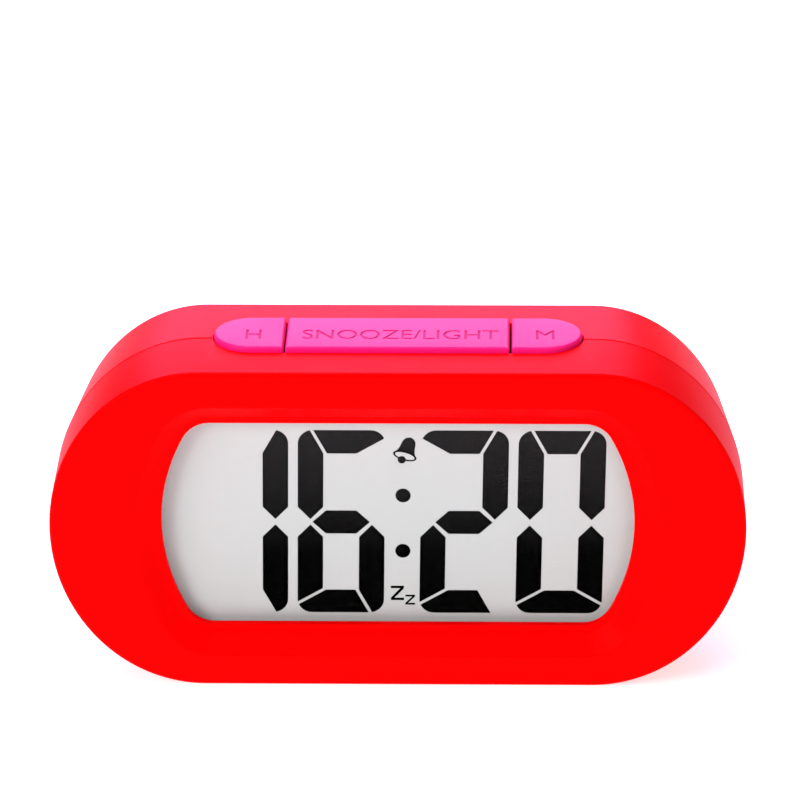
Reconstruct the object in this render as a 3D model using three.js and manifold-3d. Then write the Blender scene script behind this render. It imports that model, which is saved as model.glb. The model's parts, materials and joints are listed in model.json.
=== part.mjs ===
// A digital alarm clock: a long rounded case in two moulded halves, a liquid-crystal display set in a
// dished window, three keys in one strip on top, and a battery bay, two slide switches and a sounder
// at the back. Millimetres, +X to the right of someone facing the display, +Y to the back, +Z up.
// The origin is the middle of the flat base.
import * as THREE from "three";
import { mergeVertices } from "three/addons/utils/BufferGeometryUtils.js";
import Module from "manifold-3d";

const wasm = await Module();
wasm.setup();

// ---- Driving dimensions -------------------------------------------------------------------------

// The case.
const WIDTH = 159.4; // across the ends, at the joint between the halves
const HEIGHT = 78.9; // base to top, at the same joint
const DEPTH = 44; // front face to back face
const END_REACH = 35; // how far each rounded end reaches beyond the flat top and base
const WALL = 2.2;
const JOINT_Y = -2; // the halves meet a little in front of the middle
const FRONT_DRAFT = 0.1; // how much smaller the case is at the front edge than at the joint
const REAR_DRAFT = 1; // the same at the back edge, on top
const REAR_END_DRAFT = 2.2; // and at each end
const FRONT_EDGE = 1; // radius of the front edge
const REAR_EDGE = 2.5;
const SEAM_GAP = 0.1; // between the halves
const SEAM_CHAMFER = 0.3;
const TONGUE_LENGTH = 2; // the front half's tongue inside the rear half
const TONGUE_INSET = 1.25;
const TONGUE_CLEARANCE = 0.2;

// The window and the dish around it.
const WINDOW_WIDTH = 108.4;
const WINDOW_HEIGHT = 51;
const WINDOW_SIDE_RADIUS = 46; // the bulging left and right sides
const WINDOW_CORNER = 7;
const WINDOW_RISE = -0.4; // the window's centre from the case's: a little lower
const DISH_REACH = 6.2; // from the window's edge out to the dish's rim
const DISH_DEPTH = 4.4;
const DISH_SLOPE = THREE.MathUtils.degToRad(45);
const DISH_RIM_RADIUS = 1;
const DISH_FOOT_RADIUS = 2.5;
const LIP_THICKNESS = 1.8;
const LIP_SEAT = 4.6; // width of the flat seat behind the lip

// The display stack, from the front backwards. Each layer starts LAYER_GAP behind the last.
const LAYER_GAP = 0.1;
const LENS_CLEARANCE = 0.25;
const LENS_FLANGE = 2;
const LENS_FLANGE_THICKNESS = 0.75;
const LENS_SETBACK = 0.5; // the lens face stands this far behind the lip
const BEZEL_THICKNESS = 0.8;
const BEZEL_MARGIN = 1; // the frame's opening is this much larger than the window
const LCD_WIDTH = 115;
const LCD_HEIGHT = 56;
const LCD_THICKNESS = 2.4;
const DIFFUSER_THICKNESS = 0.3;
const GUIDE_WIDTH = 109;
const GUIDE_HEIGHT = 50;
const GUIDE_THICKNESS = 2.2;
const REFLECTOR_THICKNESS = 0.3;
const FRAME_RIM_X = 3.3;
const FRAME_RIM_Z = 2.4;
const POCKET_CLEARANCE = 0.7;
const BOARD_THICKNESS = 1.6;
const BOARD_MARGIN = 0.5; // the main board is this much smaller than the frame all round
const EAR_RADIUS = 3;
const EAR_THICKNESS = 1.9;
const EAR_RISE = 9; // ears above and below the display's centre

// The key strip on top.
const STRIP_LENGTH = 84.2;
const STRIP_DEPTH = 17.6;
const STRIP_Y = -1; // the strip's middle
const KEY_RISE = 1.1; // key tops above the case
const KEY_EDGE = 0.9;
const KEY_CLEARANCE = 0.25;
const KEY_GAP = 0.5; // between one key and the next
const SNOOZE_LENGTH = 51;
const KEY_WALL = 1.6;
const KEY_FLANGE = 1; // the flange reaches this far under the case wall
const KEY_FLANGE_THICKNESS = 1.2;
const KEY_TRAVEL = 0.5;
const KEY_POST_RADIUS = 2;
const SWITCH_X = 34; // the outer two key switches stand this far from the middle
const SWITCH_SIDE = 6;
const SWITCH_HEIGHT = 3.5;
const PLUNGER_RADIUS = 1.7;
const PLUNGER_RISE = 0.9;
const PLUNGER_CLEARANCE = 0.15;
const KEY_BOARD_LENGTH = 94;
const KEY_BOARD_FRONT = -6;
const KEY_BOARD_BACK = 7.5;
const RIB_WIDTH = 4;
const RIB_OVERLAP = 1.8; // how far the key board's ends sit in the ribs
const SLOT_CLEARANCE = 0.15;

// The fasteners.
const CASE_SCREW_INSET = 14.2; // from each end of the case
const CASE_SCREW_DROP = 8; // from the wall's inside, above or below
const CASE_BOSS_RADIUS = 3;
const CASE_BOSS_END = 5; // front bosses end here, past the joint
const REAR_BOSS_RADIUS = 3.9;
const BOSS_GAP = 0.3;
const COUNTERBORE_RADIUS = 2.9;
const COUNTERBORE_FLOOR = 11.5;
const CASE_SCREW = { shank: 1, head: 2.4, headHeight: 1.6, length: 12, cross: 0.45 };
const DISPLAY_SCREW = { shank: 0.85, head: 2, headHeight: 1.2, length: 6, cross: 0.35 };
const BOARD_SCREW = { shank: 0.85, head: 2, headHeight: 1.2, length: 6, cross: 0.35 };
const SCREW_CLEARANCE = 0.05; // between a shank and its pilot hole
const THROUGH_CLEARANCE = 0.45; // between a shank and the hole it passes through

// The battery bay: three AAA cells lying across the clock, one above another.
const CELL_RADIUS = 5.25;
const CELL_LENGTH = 43.6; // without the nub
const NUB_RADIUS = 1.9;
const NUB_LENGTH = 0.9;
const CELL_PITCH = 11.3;
const CELL_CLEARANCE = 0.4;
const BAY_LENGTH = 50;
const BAY_Z = 33;
const BAY_WALL = 1.6;
const BAY_FLOOR = 1.4;
const DOOR_THICKNESS = 1.85;
const DOOR_MARGIN_X = 3.8; // the door overlaps the bay by this much at each end
const DOOR_MARGIN_Z = 2.8;
const DOOR_CLEARANCE = 0.2;
const LEDGE_THICKNESS = 1.8;
const LEDGE_MARGIN = 2;
const DOOR_TAB = { x: 15, width: 6, reach: 1.8, thickness: 1.2, root: 2.2 };
const LATCH = { width: 12, length: 9, slot: 0.8, scoop: 4 };
const CONTACT_THICKNESS = 0.4;
const CONTACT_SIDE = 7;
const SPRING = { base: 3.1, tip: 1.9, wire: 0.35, turns: 3, length: 3 };
const TAB_LENGTH = 3.4;
const TAB_WIDTH = 2.4;

// The slide switches and the board that carries them.
const SLIDER_X = 18;
const SLIDER_DROP = 17.9; // the slide switches stand this far below the top
const SLIDER_GRIP = { length: 4.4, width: 3 };
const SLIDER_SHOE = { width: 5.2, thickness: 2 };
const SLIDER_RECESS = { margin: 1.5, depth: 0.8 };
const SLIDER_CLEARANCE = 0.25;
const ALARM_TRAVEL = 4; // off to on
const MODE_TRAVEL = 3; // each way from the middle
const LEVER_SIDE = 1.6;
const LEVER_RISE = 1.5;
const SLIDE_SWITCH = { width: 4.4, height: 4 };
const SWITCH_BOARD_FRONT = 11;
const SWITCH_BOARD_LENGTH = 76;
const SWITCH_BOARD_HEIGHT = 11;
const POST_X = 34;
const POST_RADIUS = 2.6;

// The sounder.
const BUZZER_X = 46;
const BUZZER_Z = 33;
const BUZZER_RADIUS = 10;
const BUZZER_THICKNESS = 0.4;
const CERAMIC_RADIUS = 7;
const CERAMIC_THICKNESS = 0.3;
const CUP_WALL = 1.4;
const CUP_HEIGHT = 3;
const GRILLE = { slots: 5, width: 1.6, pitch: 3.6, radius: 9 };

const LEAD_RADIUS = 0.6;
const SOLDER_GAP = 0.3;
const ROUND_STEPS = 20;

// ---- Places worked out from them ----------------------------------------------------------------

const FRONT = -DEPTH / 2;
const BACK = DEPTH / 2;
const MIDDLE_Z = HEIGHT / 2;
const DISPLAY_Z = MIDDLE_Z + WINDOW_RISE;
const FLAT_HALF = WIDTH / 2 - END_REACH; // half length of the flat top and base
const CASE_SCREW_X = WIDTH / 2 - CASE_SCREW_INSET;
const CASE_SCREW_SHARE = Math.max(0, CASE_SCREW_X - FLAT_HALF) / (END_REACH - WALL);
const WALL_RISE = (HEIGHT / 2 - WALL) * Math.sqrt(1 - CASE_SCREW_SHARE ** 2);
const CASE_SCREW_RISE = WALL_RISE - CASE_SCREW_DROP; // above and below the case's centre
const LIP_FRONT = FRONT + DISH_DEPTH;
const LIP_BACK = LIP_FRONT + LIP_THICKNESS;
const LENS_FRONT = LIP_FRONT + LENS_SETBACK;
const FLANGE_FRONT = LIP_BACK + LAYER_GAP / 2;
const FLANGE_BACK = FLANGE_FRONT + LENS_FLANGE_THICKNESS;
const BEZEL_FRONT = FLANGE_BACK + LAYER_GAP;
const LCD_FRONT = BEZEL_FRONT + BEZEL_THICKNESS + LAYER_GAP;
const DIFFUSER_FRONT = LCD_FRONT + LCD_THICKNESS + LAYER_GAP;
const GUIDE_FRONT = DIFFUSER_FRONT + DIFFUSER_THICKNESS + LAYER_GAP;
const REFLECTOR_FRONT = GUIDE_FRONT + GUIDE_THICKNESS + LAYER_GAP;
const FRAME_BACK = REFLECTOR_FRONT + REFLECTOR_THICKNESS + LAYER_GAP;
const BOARD_FRONT = FRAME_BACK + LAYER_GAP;
const BOARD_BACK = BOARD_FRONT + BOARD_THICKNESS;
const POCKET_WIDTH = LCD_WIDTH + 2 * POCKET_CLEARANCE;
const POCKET_HEIGHT = LCD_HEIGHT + 2 * POCKET_CLEARANCE;
const FRAME_WIDTH = POCKET_WIDTH + 2 * FRAME_RIM_X;
const FRAME_HEIGHT = POCKET_HEIGHT + 2 * FRAME_RIM_Z;
const EAR_X = FRAME_WIDTH / 2 + EAR_RADIUS + 0.1;

const KEY_TOP = HEIGHT + KEY_RISE;
const FLANGE_TOP = HEIGHT - WALL - REAR_DRAFT + 0.1;
const KEY_BASE = FLANGE_TOP - KEY_FLANGE_THICKNESS;
const PLUNGER_TOP = KEY_BASE - KEY_TRAVEL - 0.1;
const SWITCH_TOP = PLUNGER_TOP - PLUNGER_RISE;
const KEY_BOARD_TOP = SWITCH_TOP - SWITCH_HEIGHT;
const KEY_BOARD_BASE = KEY_BOARD_TOP - BOARD_THICKNESS;

const BACK_INNER = BACK - WALL;
const BAY_HEIGHT = 2 * (CELL_PITCH + CELL_RADIUS + CELL_CLEARANCE);
const DOOR_FRONT = BACK - DOOR_THICKNESS - 0.05;
const LEDGE_Y = DOOR_FRONT - 0.1; // the shelf that the door lies on
const CELL_Y = LEDGE_Y - 0.55 - CELL_RADIUS;
const BAY_BOTTOM = CELL_Y - CELL_RADIUS - 0.35;
const DOOR_LENGTH = BAY_LENGTH + 2 * DOOR_MARGIN_X;
const DOOR_HEIGHT = BAY_HEIGHT + 2 * DOOR_MARGIN_Z;

const SLIDER_Z = HEIGHT - SLIDER_DROP;
const SWITCH_BOARD_BACK = SWITCH_BOARD_FRONT + BOARD_THICKNESS;
const SLIDE_SWITCH_BACK = SWITCH_BOARD_BACK + SLIDE_SWITCH.height;
const SHOE_BACK = BACK_INNER - SLIDER_CLEARANCE;
const SHOE_FRONT = SHOE_BACK - SLIDER_SHOE.thickness;
const GRIP_BACK = BACK - 0.3;

// ---- Materials ----------------------------------------------------------------------------------

const material = (color, roughness, metalness = 0) =>
  new THREE.MeshStandardMaterial({ color, roughness, metalness });
const RED_SOFT_TOUCH = material(0xf50a0f, 0.5);
const PINK_KEY = material(0xff5cae, 0.45);
const CLEAR_ACRYLIC = material(0xf2f6f6, 0.05);
const DISPLAY_GLASS = material(0xd9dcda, 0.1);
const WHITE_ABS = material(0xf0f0ec, 0.45);
const WHITE_FILM = material(0xfafafa, 0.4);
const CIRCUIT_BOARD = material(0x1f6b3a, 0.4);
const BLACK_PLASTIC = material(0x1b1b1d, 0.5);
const STEEL = material(0xb9bcc0, 0.3, 1);
const NICKEL = material(0xc9c6bd, 0.25, 1);
const BRASS = material(0xc9a24a, 0.3, 1);
const CERAMIC = material(0xe9e7df, 0.5);
const RUBBER_GREY = material(0x6f7276, 0.8);
const CELL_SLEEVE = material(0x3f7fa6, 0.35);
const LEAD_RED = material(0xc01818, 0.5);
const LEAD_BLACK = material(0x141414, 0.5);
const RIBBON_GREY = material(0x9a9da3, 0.5);

// ---- Tools --------------------------------------------------------------------------------------

/** A closed geometry as a solid that can be joined and cut. */
function solid(geometry) {
  const bare = geometry.clone();
  bare.deleteAttribute("normal");
  bare.deleteAttribute("uv");
  const merged = mergeVertices(bare, 1e-4);
  const vertProperties = merged.attributes.position.array;
  const triVerts = new Uint32Array(merged.index.array);
  return new wasm.Manifold(new wasm.Mesh({ numProp: 3, vertProperties, triVerts }));
}

/** Back from a solid to a geometry. */
function geometryOf(body) {
  const mesh = body.getMesh();
  const position = new THREE.BufferAttribute(new Float32Array(mesh.vertProperties), 3);
  const index = new THREE.BufferAttribute(new Uint32Array(mesh.triVerts), 1);
  return new THREE.BufferGeometry().setAttribute("position", position).setIndex(index);
}

/** One geometry with others joined on and still others cut away. */
function carve(base, { add = [], cut = [] }) {
  const joined = add.reduce((sum, g) => sum.add(solid(g)), solid(base));
  return geometryOf(cut.reduce((rest, g) => rest.subtract(solid(g)), joined));
}

/** A box given by its lowest and highest corners. */
function box(low, high) {
  const size = high.map((v, i) => v - low[i]);
  const centre = high.map((v, i) => (v + low[i]) / 2);
  return new THREE.BoxGeometry(...size).translate(...centre);
}

/** A cylinder along Y between two depths. */
function rod(radius, x, z, front, back, steps = ROUND_STEPS) {
  const length = back - front;
  const shape = new THREE.CylinderGeometry(radius, radius, length, steps);
  return shape.translate(x, (front + back) / 2, z);
}

/** A cylinder along Z between two heights. */
function post(radius, x, y, base, top, steps = ROUND_STEPS) {
  const shape = new THREE.CylinderGeometry(radius, radius, top - base, steps);
  return shape.rotateX(Math.PI / 2).translate(x, y, (base + top) / 2);
}

/** A shape drawn in X and Z, made into a slab between two depths. */
function slab(shape, front, back, curveSegments = 8) {
  const options = { depth: back - front, bevelEnabled: false, curveSegments };
  return new THREE.ExtrudeGeometry(shape, options).rotateX(Math.PI / 2).translate(0, back, 0);
}

/** A rectangle with round corners, drawn about a centre. */
function roundedRectangle(width, height, radius, cx = 0, cz = 0) {
  const [w, h] = [width / 2 - radius, height / 2 - radius];
  const shape = new THREE.Shape();
  shape.absarc(cx + w, cz + h, radius, 0, Math.PI / 2, false);
  shape.absarc(cx - w, cz + h, radius, Math.PI / 2, Math.PI, false);
  shape.absarc(cx - w, cz - h, radius, Math.PI, 1.5 * Math.PI, false);
  shape.absarc(cx + w, cz - h, radius, 1.5 * Math.PI, 2 * Math.PI, false);
  return shape;
}

/** Skins a list of rings, each with as many points. It closes on itself, or flat ends close it. */
function loft(rings, closes) {
  const count = rings[0].length;
  const positions = rings.flat().flatMap((p) => [p.x, p.y, p.z]);
  const index = [];
  const steps = closes ? rings.length : rings.length - 1;
  for (let r = 0; r < steps; r++) {
    const next = (r + 1) % rings.length;
    for (let i = 0; i < count; i++) {
      const j = (i + 1) % count;
      const [a, b, c, d] = [r * count + i, r * count + j, next * count + j, next * count + i];
      index.push(a, c, b, a, d, c);
    }
  }
  if (!closes) {
    const ends = [rings[0], rings.at(-1)];
    ends.forEach((ring, end) => {
      const centre = ring.reduce((sum, p) => sum.add(p), new THREE.Vector3()).divideScalar(count);
      const hub = positions.length / 3;
      positions.push(centre.x, centre.y, centre.z);
      const first = end * (rings.length - 1) * count;
      for (let i = 0; i < count; i++) {
        const [a, b] = [first + i, first + ((i + 1) % count)];
        index.push(hub, ...(end ? [b, a] : [a, b]));
      }
    });
  }
  const position = new THREE.Float32BufferAttribute(positions, 3);
  return new THREE.BufferGeometry().setAttribute("position", position).setIndex(index);
}

/** A round wire or lead along points. */
function tube(points, radius, steps, sides = 8) {
  const section = new THREE.Shape();
  section.absarc(0, 0, radius, 0, 2 * Math.PI, false);
  const extrudePath = new THREE.CatmullRomCurve3(points.map((p) => new THREE.Vector3(...p)));
  const options = { steps, curveSegments: sides, bevelEnabled: false, extrudePath };
  return new THREE.ExtrudeGeometry(section, options);
}

/** A flat cable of even thickness: a bent band in Y and Z, as wide as the X range. */
function flatCable(points, thickness, low, high, steps = 14) {
  const curve = new THREE.CatmullRomCurve3(points.map(([y, z]) => new THREE.Vector3(y, z, 0)));
  const along = curve.getPoints(steps);
  const side = (sign) =>
    along.map((p, i) => {
      const t = curve.getTangent(i / steps);
      return new THREE.Vector2(p.x - sign * t.y * thickness, p.y + sign * t.x * thickness);
    });
  const outline = new THREE.Shape([...side(0.5), ...side(-0.5).reverse()]);
  const options = { depth: high - low, bevelEnabled: false };
  const band = new THREE.ExtrudeGeometry(outline, options);
  // The outline's first axis becomes Y, its second Z, and its depth X.
  band.applyMatrix4(new THREE.Matrix4().set(0, 0, 1, low, 1, 0, 0, 0, 0, 1, 0, 0, 0, 0, 0, 1));
  return band;
}

function mesh(name, geometry, look) {
  const made = new THREE.Mesh(geometry, look);
  made.name = name;
  return made;
}

/** The corners of a rectangle of fixings, as [x, z] pairs. */
const corners = (x, rise, centre) =>
  [-1, 1].flatMap((sx) => [-1, 1].map((sz) => [sx * x, centre + sz * rise]));
const CASE_SCREWS = corners(CASE_SCREW_X, CASE_SCREW_RISE, MIDDLE_Z);
const DISPLAY_SCREWS = corners(EAR_X, EAR_RISE, DISPLAY_Z);

// ---- Outlines -----------------------------------------------------------------------------------

// Every outline is walked by the direction that its edge faces, so that the case, the dish and the
// window have matching points: down the right end, then up the left one.
const END_STEPS = 20;
const FACING = Array.from({ length: END_STEPS + 1 }, (_, i) => Math.PI * (0.5 - i / END_STEPS));

function ring(endPoint, y) {
  const right = FACING.map(endPoint);
  const left = right.map(([x, z]) => [-x, z]).reverse();
  return [...right, ...left].map(([x, z]) => new THREE.Vector3(x, y, z));
}

/** The case's outline, drawn in by inset on top, by baseInset at the base and endInset at the ends. */
function caseRing(y, inset, baseInset = inset, endInset = inset) {
  const reach = END_REACH - endInset;
  const half = (HEIGHT - inset - baseInset) / 2;
  return ring((facing) => {
    const [c, s] = [Math.cos(facing), Math.sin(facing)];
    const scale = Math.hypot(reach * c, half * s);
    return [FLAT_HALF + (reach ** 2 * c) / scale, baseInset + half + (half ** 2 * s) / scale];
  }, y);
}

/** The window's outline, made larger by offset: round corners between flat and bulging sides. */
function windowRing(y, offset) {
  const sideX = WINDOW_WIDTH / 2 - WINDOW_SIDE_RADIUS;
  const cornerZ = WINDOW_HEIGHT / 2 - WINDOW_CORNER;
  const cornerX = sideX + Math.sqrt((WINDOW_SIDE_RADIUS - WINDOW_CORNER) ** 2 - cornerZ ** 2);
  const change = Math.atan2(cornerZ, cornerX - sideX); // where side becomes corner
  return ring((facing) => {
    const onSide = Math.abs(facing) < change;
    const radius = (onSide ? WINDOW_SIDE_RADIUS : WINDOW_CORNER) + offset;
    const [cx, cz] = onSide ? [sideX, 0] : [cornerX, Math.sign(facing) * cornerZ];
    return [cx + radius * Math.cos(facing), DISPLAY_Z + cz + radius * Math.sin(facing)];
  }, y);
}

/** The key strip's outline, straight with round ends, made larger by offset. */
function stripRing(z, offset) {
  const radius = STRIP_DEPTH / 2 + offset;
  const centre = (STRIP_LENGTH - STRIP_DEPTH) / 2;
  return ring((facing) => [centre + radius * Math.cos(facing), radius * Math.sin(facing)], 0).map(
    (p) => new THREE.Vector3(p.x, STRIP_Y + p.z, z),
  );
}

/** A quarter round from side to face, as [drawn in, moved on] pairs. */
const quarterRound = (radius, steps) =>
  Array.from({ length: steps }, (_, i) => {
    const turn = ((i + 1) / steps) * (Math.PI / 2);
    return [radius * (1 - Math.cos(turn)), radius * Math.sin(turn)];
  });

// ---- The case -----------------------------------------------------------------------------------

/** The dish from its rim in to the lip: a round rim, a straight slope and a round foot. */
function dishRings() {
  const turns = [1 / 2, 1].map((t) => t * DISH_SLOPE);
  const rim = turns.map((a) => [DISH_RIM_RADIUS * Math.sin(a), DISH_RIM_RADIUS * (1 - Math.cos(a))]);
  const footDrop = DISH_FOOT_RADIUS * (1 - Math.cos(DISH_SLOPE));
  const slopeDrop = DISH_DEPTH - rim.at(-1)[1] - footDrop;
  const footX =
    rim.at(-1)[0] + slopeDrop / Math.tan(DISH_SLOPE) + DISH_FOOT_RADIUS * Math.sin(DISH_SLOPE);
  const foot = [...turns].reverse().map((a) => [
    footX - DISH_FOOT_RADIUS * Math.sin(a),
    DISH_DEPTH - DISH_FOOT_RADIUS * (1 - Math.cos(a)),
  ]);
  const profile = [[0, 0], ...rim, ...foot, [footX, DISH_DEPTH], [DISH_REACH, DISH_DEPTH]];
  return profile.map(([inwards, down]) => windowRing(FRONT + down, DISH_REACH - inwards));
}

const stripCut = () =>
  loft([stripRing(KEY_BASE, KEY_CLEARANCE), stripRing(KEY_TOP + 1, KEY_CLEARANCE)], false);

function frontShell() {
  const seam = JOINT_Y - SEAM_GAP / 2;
  const tongueEnd = JOINT_Y + TONGUE_LENGTH;
  const sideEnd = FRONT + FRONT_EDGE;
  const skin = loft(
    [
      caseRing(seam, SEAM_CHAMFER),
      caseRing(seam - SEAM_CHAMFER, 0),
      caseRing(sideEnd, FRONT_DRAFT, 0),
      ...quarterRound(FRONT_EDGE, 3).map(([inset, on]) =>
        caseRing(sideEnd - on, FRONT_DRAFT + inset, inset),
      ),
      ...dishRings(),
      windowRing(LIP_BACK, 0),
      windowRing(LIP_BACK, LIP_SEAT),
      windowRing(FRONT + WALL, LIP_SEAT + DISH_DEPTH - LIP_THICKNESS),
      caseRing(FRONT + WALL, FRONT_DRAFT + WALL + FRONT_EDGE / 2, WALL + FRONT_EDGE / 2),
      caseRing(sideEnd + WALL, FRONT_DRAFT + WALL, WALL),
      caseRing(seam, WALL),
      caseRing(tongueEnd, WALL),
      caseRing(tongueEnd, TONGUE_INSET),
      caseRing(seam, TONGUE_INSET),
    ],
    true,
  );
  const pilot = CASE_SCREW.shank + SCREW_CLEARANCE;
  const earPilot = DISPLAY_SCREW.shank + SCREW_CLEARANCE;
  const root = FRONT + WALL - 0.5; // bosses start inside the wall
  const earFront = FRAME_BACK - EAR_THICKNESS;
  return carve(skin, {
    add: [
      ...CASE_SCREWS.map(([x, z]) => rod(CASE_BOSS_RADIUS, x, z, root, CASE_BOSS_END)),
      ...DISPLAY_SCREWS.map(([x, z]) => rod(2.2, x, z, root, earFront - LAYER_GAP)),
    ],
    cut: [
      stripCut(),
      ...CASE_SCREWS.map(([x, z]) => rod(pilot, x, z, CASE_BOSS_END - 14, CASE_BOSS_END + 1, 12)),
      ...DISPLAY_SCREWS.map(([x, z]) => rod(earPilot, x, z, FRONT + 3.5, earFront + 1, 12)),
    ],
  });
}

/** The slot in the back wall for one slide switch's grip, and the shallow recess around it. */
function sliderCuts(x, low, high) {
  const [grip, gap] = [SLIDER_GRIP, SLIDER_CLEARANCE];
  const length = grip.length + high - low + 2 * gap;
  const centre = x + (low + high) / 2;
  const slot = roundedRectangle(length, grip.width + 2 * gap, 0.8, centre, SLIDER_Z);
  const margin = 2 * SLIDER_RECESS.margin;
  const height = grip.width + 2 * gap + margin;
  const recess = roundedRectangle(length + margin, height, 1.6, centre, SLIDER_Z);
  const floor = BACK - SLIDER_RECESS.depth;
  return [slab(slot, BACK_INNER - 1, BACK + 1, 4), slab(recess, floor, BACK + 1, 4)];
}

/** The sounder's slots: upright, with round ends, filling a circle. */
function grilleCuts() {
  return Array.from({ length: GRILLE.slots }, (_, i) => {
    const across = (i - (GRILLE.slots - 1) / 2) * GRILLE.pitch;
    const height = 2 * Math.sqrt(GRILLE.radius ** 2 - across ** 2);
    const centre = BUZZER_X + across;
    const slot = roundedRectangle(GRILLE.width, height, GRILLE.width / 2 - 0.01, centre, BUZZER_Z);
    return slab(slot, BACK_INNER - 1, BACK + 1, 4);
  });
}

/** The ribs inside the back half that the key board's ends slide into. */
function keyBoardRibs() {
  const inner = KEY_BOARD_LENGTH / 2 - RIB_OVERLAP;
  const front = KEY_BOARD_FRONT - 0.2;
  const topWall = HEIGHT - WALL;
  const ribs = [-1, 1].flatMap((side) => {
    const [low, high] = side < 0 ? [-inner - RIB_WIDTH, -inner] : [inner, inner + RIB_WIDTH];
    return [
      box([low, front, KEY_BOARD_BASE - 2.6], [high, BACK_INNER + 0.5, KEY_BOARD_TOP + 3]),
      box([low, JOINT_Y + TONGUE_LENGTH + 1, KEY_BOARD_TOP + 1], [high, BACK_INNER + 0.5, topWall]),
    ];
  });
  const half = KEY_BOARD_LENGTH / 2 + SLOT_CLEARANCE;
  const slot = box(
    [-half, front - 1, KEY_BOARD_BASE - SLOT_CLEARANCE],
    [half, KEY_BOARD_BACK + SLOT_CLEARANCE, KEY_BOARD_TOP + SLOT_CLEARANCE],
  );
  return { ribs, slot };
}

function rearShell() {
  const seam = JOINT_Y + SEAM_GAP / 2;
  const sideEnd = BACK - REAR_EDGE;
  const rebate = TONGUE_INSET - TONGUE_CLEARANCE;
  const rebateEnd = JOINT_Y + TONGUE_LENGTH + 0.3;
  const drawnIn = (y, inset) => caseRing(y, REAR_DRAFT + inset, inset, REAR_END_DRAFT + inset);
  const skin = loft(
    [
      ...quarterRound(REAR_EDGE, 3)
        .map(([inset, on]) => drawnIn(sideEnd + on, inset))
        .reverse(),
      drawnIn(sideEnd, 0),
      caseRing(seam + SEAM_CHAMFER, 0),
      caseRing(seam, SEAM_CHAMFER),
      caseRing(seam, rebate),
      caseRing(rebateEnd, rebate),
      caseRing(rebateEnd, WALL),
      drawnIn(sideEnd - 1, WALL),
      drawnIn(BACK_INNER, WALL + REAR_EDGE / 2),
    ],
    false,
  );
  const bay = { x: BAY_LENGTH / 2, z: BAY_HEIGHT / 2 };
  const door = {
    x: DOOR_LENGTH / 2 + DOOR_CLEARANCE,
    z: DOOR_HEIGHT / 2 + DOOR_CLEARANCE,
  };
  const ledgeX = door.x + LEDGE_MARGIN;
  const ledgeZ = door.z + LEDGE_MARGIN;
  const around = (x, z, front, back) => box([-x, front, BAY_Z - z], [x, back, BAY_Z + z]);
  const recess = slab(roundedRectangle(2 * door.x, 2 * door.z, 2, 0, BAY_Z), LEDGE_Y, BACK + 1, 4);
  const scoop = roundedRectangle(LATCH.width + 4, 2 * LATCH.scoop, 3, 0, BAY_Z + door.z);
  const tabTop = BAY_Z - bay.z + 0.1;
  const tabBottom = BAY_Z - door.z - DOOR_TAB.reach - 0.3;
  const tabSlots = [-1, 1].map((side) =>
    box(
      [side * DOOR_TAB.x - DOOR_TAB.width / 2 - 0.3, BACK - 4.2, tabBottom],
      [side * DOOR_TAB.x + DOOR_TAB.width / 2 + 0.3, LEDGE_Y + 0.01, tabTop],
    ),
  );
  const leadSlots = [
    [1, CELL_PITCH],
    [-1, -CELL_PITCH],
  ].map(([side, rise]) => {
    const [half, x] = [TAB_WIDTH / 2 + 0.2, side * bay.x];
    return box(
      [Math.min(x, x + side * 3) - 0.1, CELL_Y - 0.5, BAY_Z + rise - half],
      [Math.max(x, x + side * 3) + 0.1, CELL_Y + 0.5, BAY_Z + rise + half],
    );
  });
  const { ribs, slot } = keyBoardRibs();
  const cup = BUZZER_RADIUS + 0.3;
  const through = CASE_SCREW.shank + THROUGH_CLEARANCE;
  const bossFront = CASE_BOSS_END + BOSS_GAP;
  const postPilot = BOARD_SCREW.shank + SCREW_CLEARANCE;
  const postFront = SWITCH_BOARD_BACK + LAYER_GAP;
  return carve(skin, {
    add: [
      around(bay.x + BAY_WALL, bay.z + BAY_WALL, BAY_BOTTOM - BAY_FLOOR, BACK_INNER + 0.5),
      around(ledgeX, ledgeZ, LEDGE_Y - LEDGE_THICKNESS, BACK_INNER + 0.5),
      ...CASE_SCREWS.map(([x, z]) => rod(REAR_BOSS_RADIUS, x, z, bossFront, BACK_INNER + 0.5)),
      ...[-1, 1].map((s) => rod(POST_RADIUS, s * POST_X, SLIDER_Z, postFront, BACK_INNER + 0.5)),
      rod(cup + CUP_WALL, BUZZER_X, BUZZER_Z, BACK_INNER - CUP_HEIGHT, BACK_INNER + 0.5),
      ...ribs,
    ],
    cut: [
      around(bay.x, bay.z, BAY_BOTTOM, BACK + 1),
      recess,
      slab(scoop, LEDGE_Y, BACK + 1, 4),
      ...tabSlots,
      ...leadSlots,
      ...CASE_SCREWS.map(([x, z]) => rod(COUNTERBORE_RADIUS, x, z, COUNTERBORE_FLOOR, BACK + 1)),
      ...CASE_SCREWS.map(([x, z]) => rod(through, x, z, bossFront - 1, COUNTERBORE_FLOOR + 1, 12)),
      ...[-1, 1].map((s) => rod(postPilot, s * POST_X, SLIDER_Z, postFront - 1, postFront + 5, 12)),
      rod(cup, BUZZER_X, BUZZER_Z, BACK_INNER - CUP_HEIGHT - 1, BACK_INNER),
      ...grilleCuts(),
      ...sliderCuts(-SLIDER_X, 0, ALARM_TRAVEL),
      ...sliderCuts(SLIDER_X, -MODE_TRAVEL, MODE_TRAVEL),
      slot,
      stripCut(),
    ],
  });
}

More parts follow.
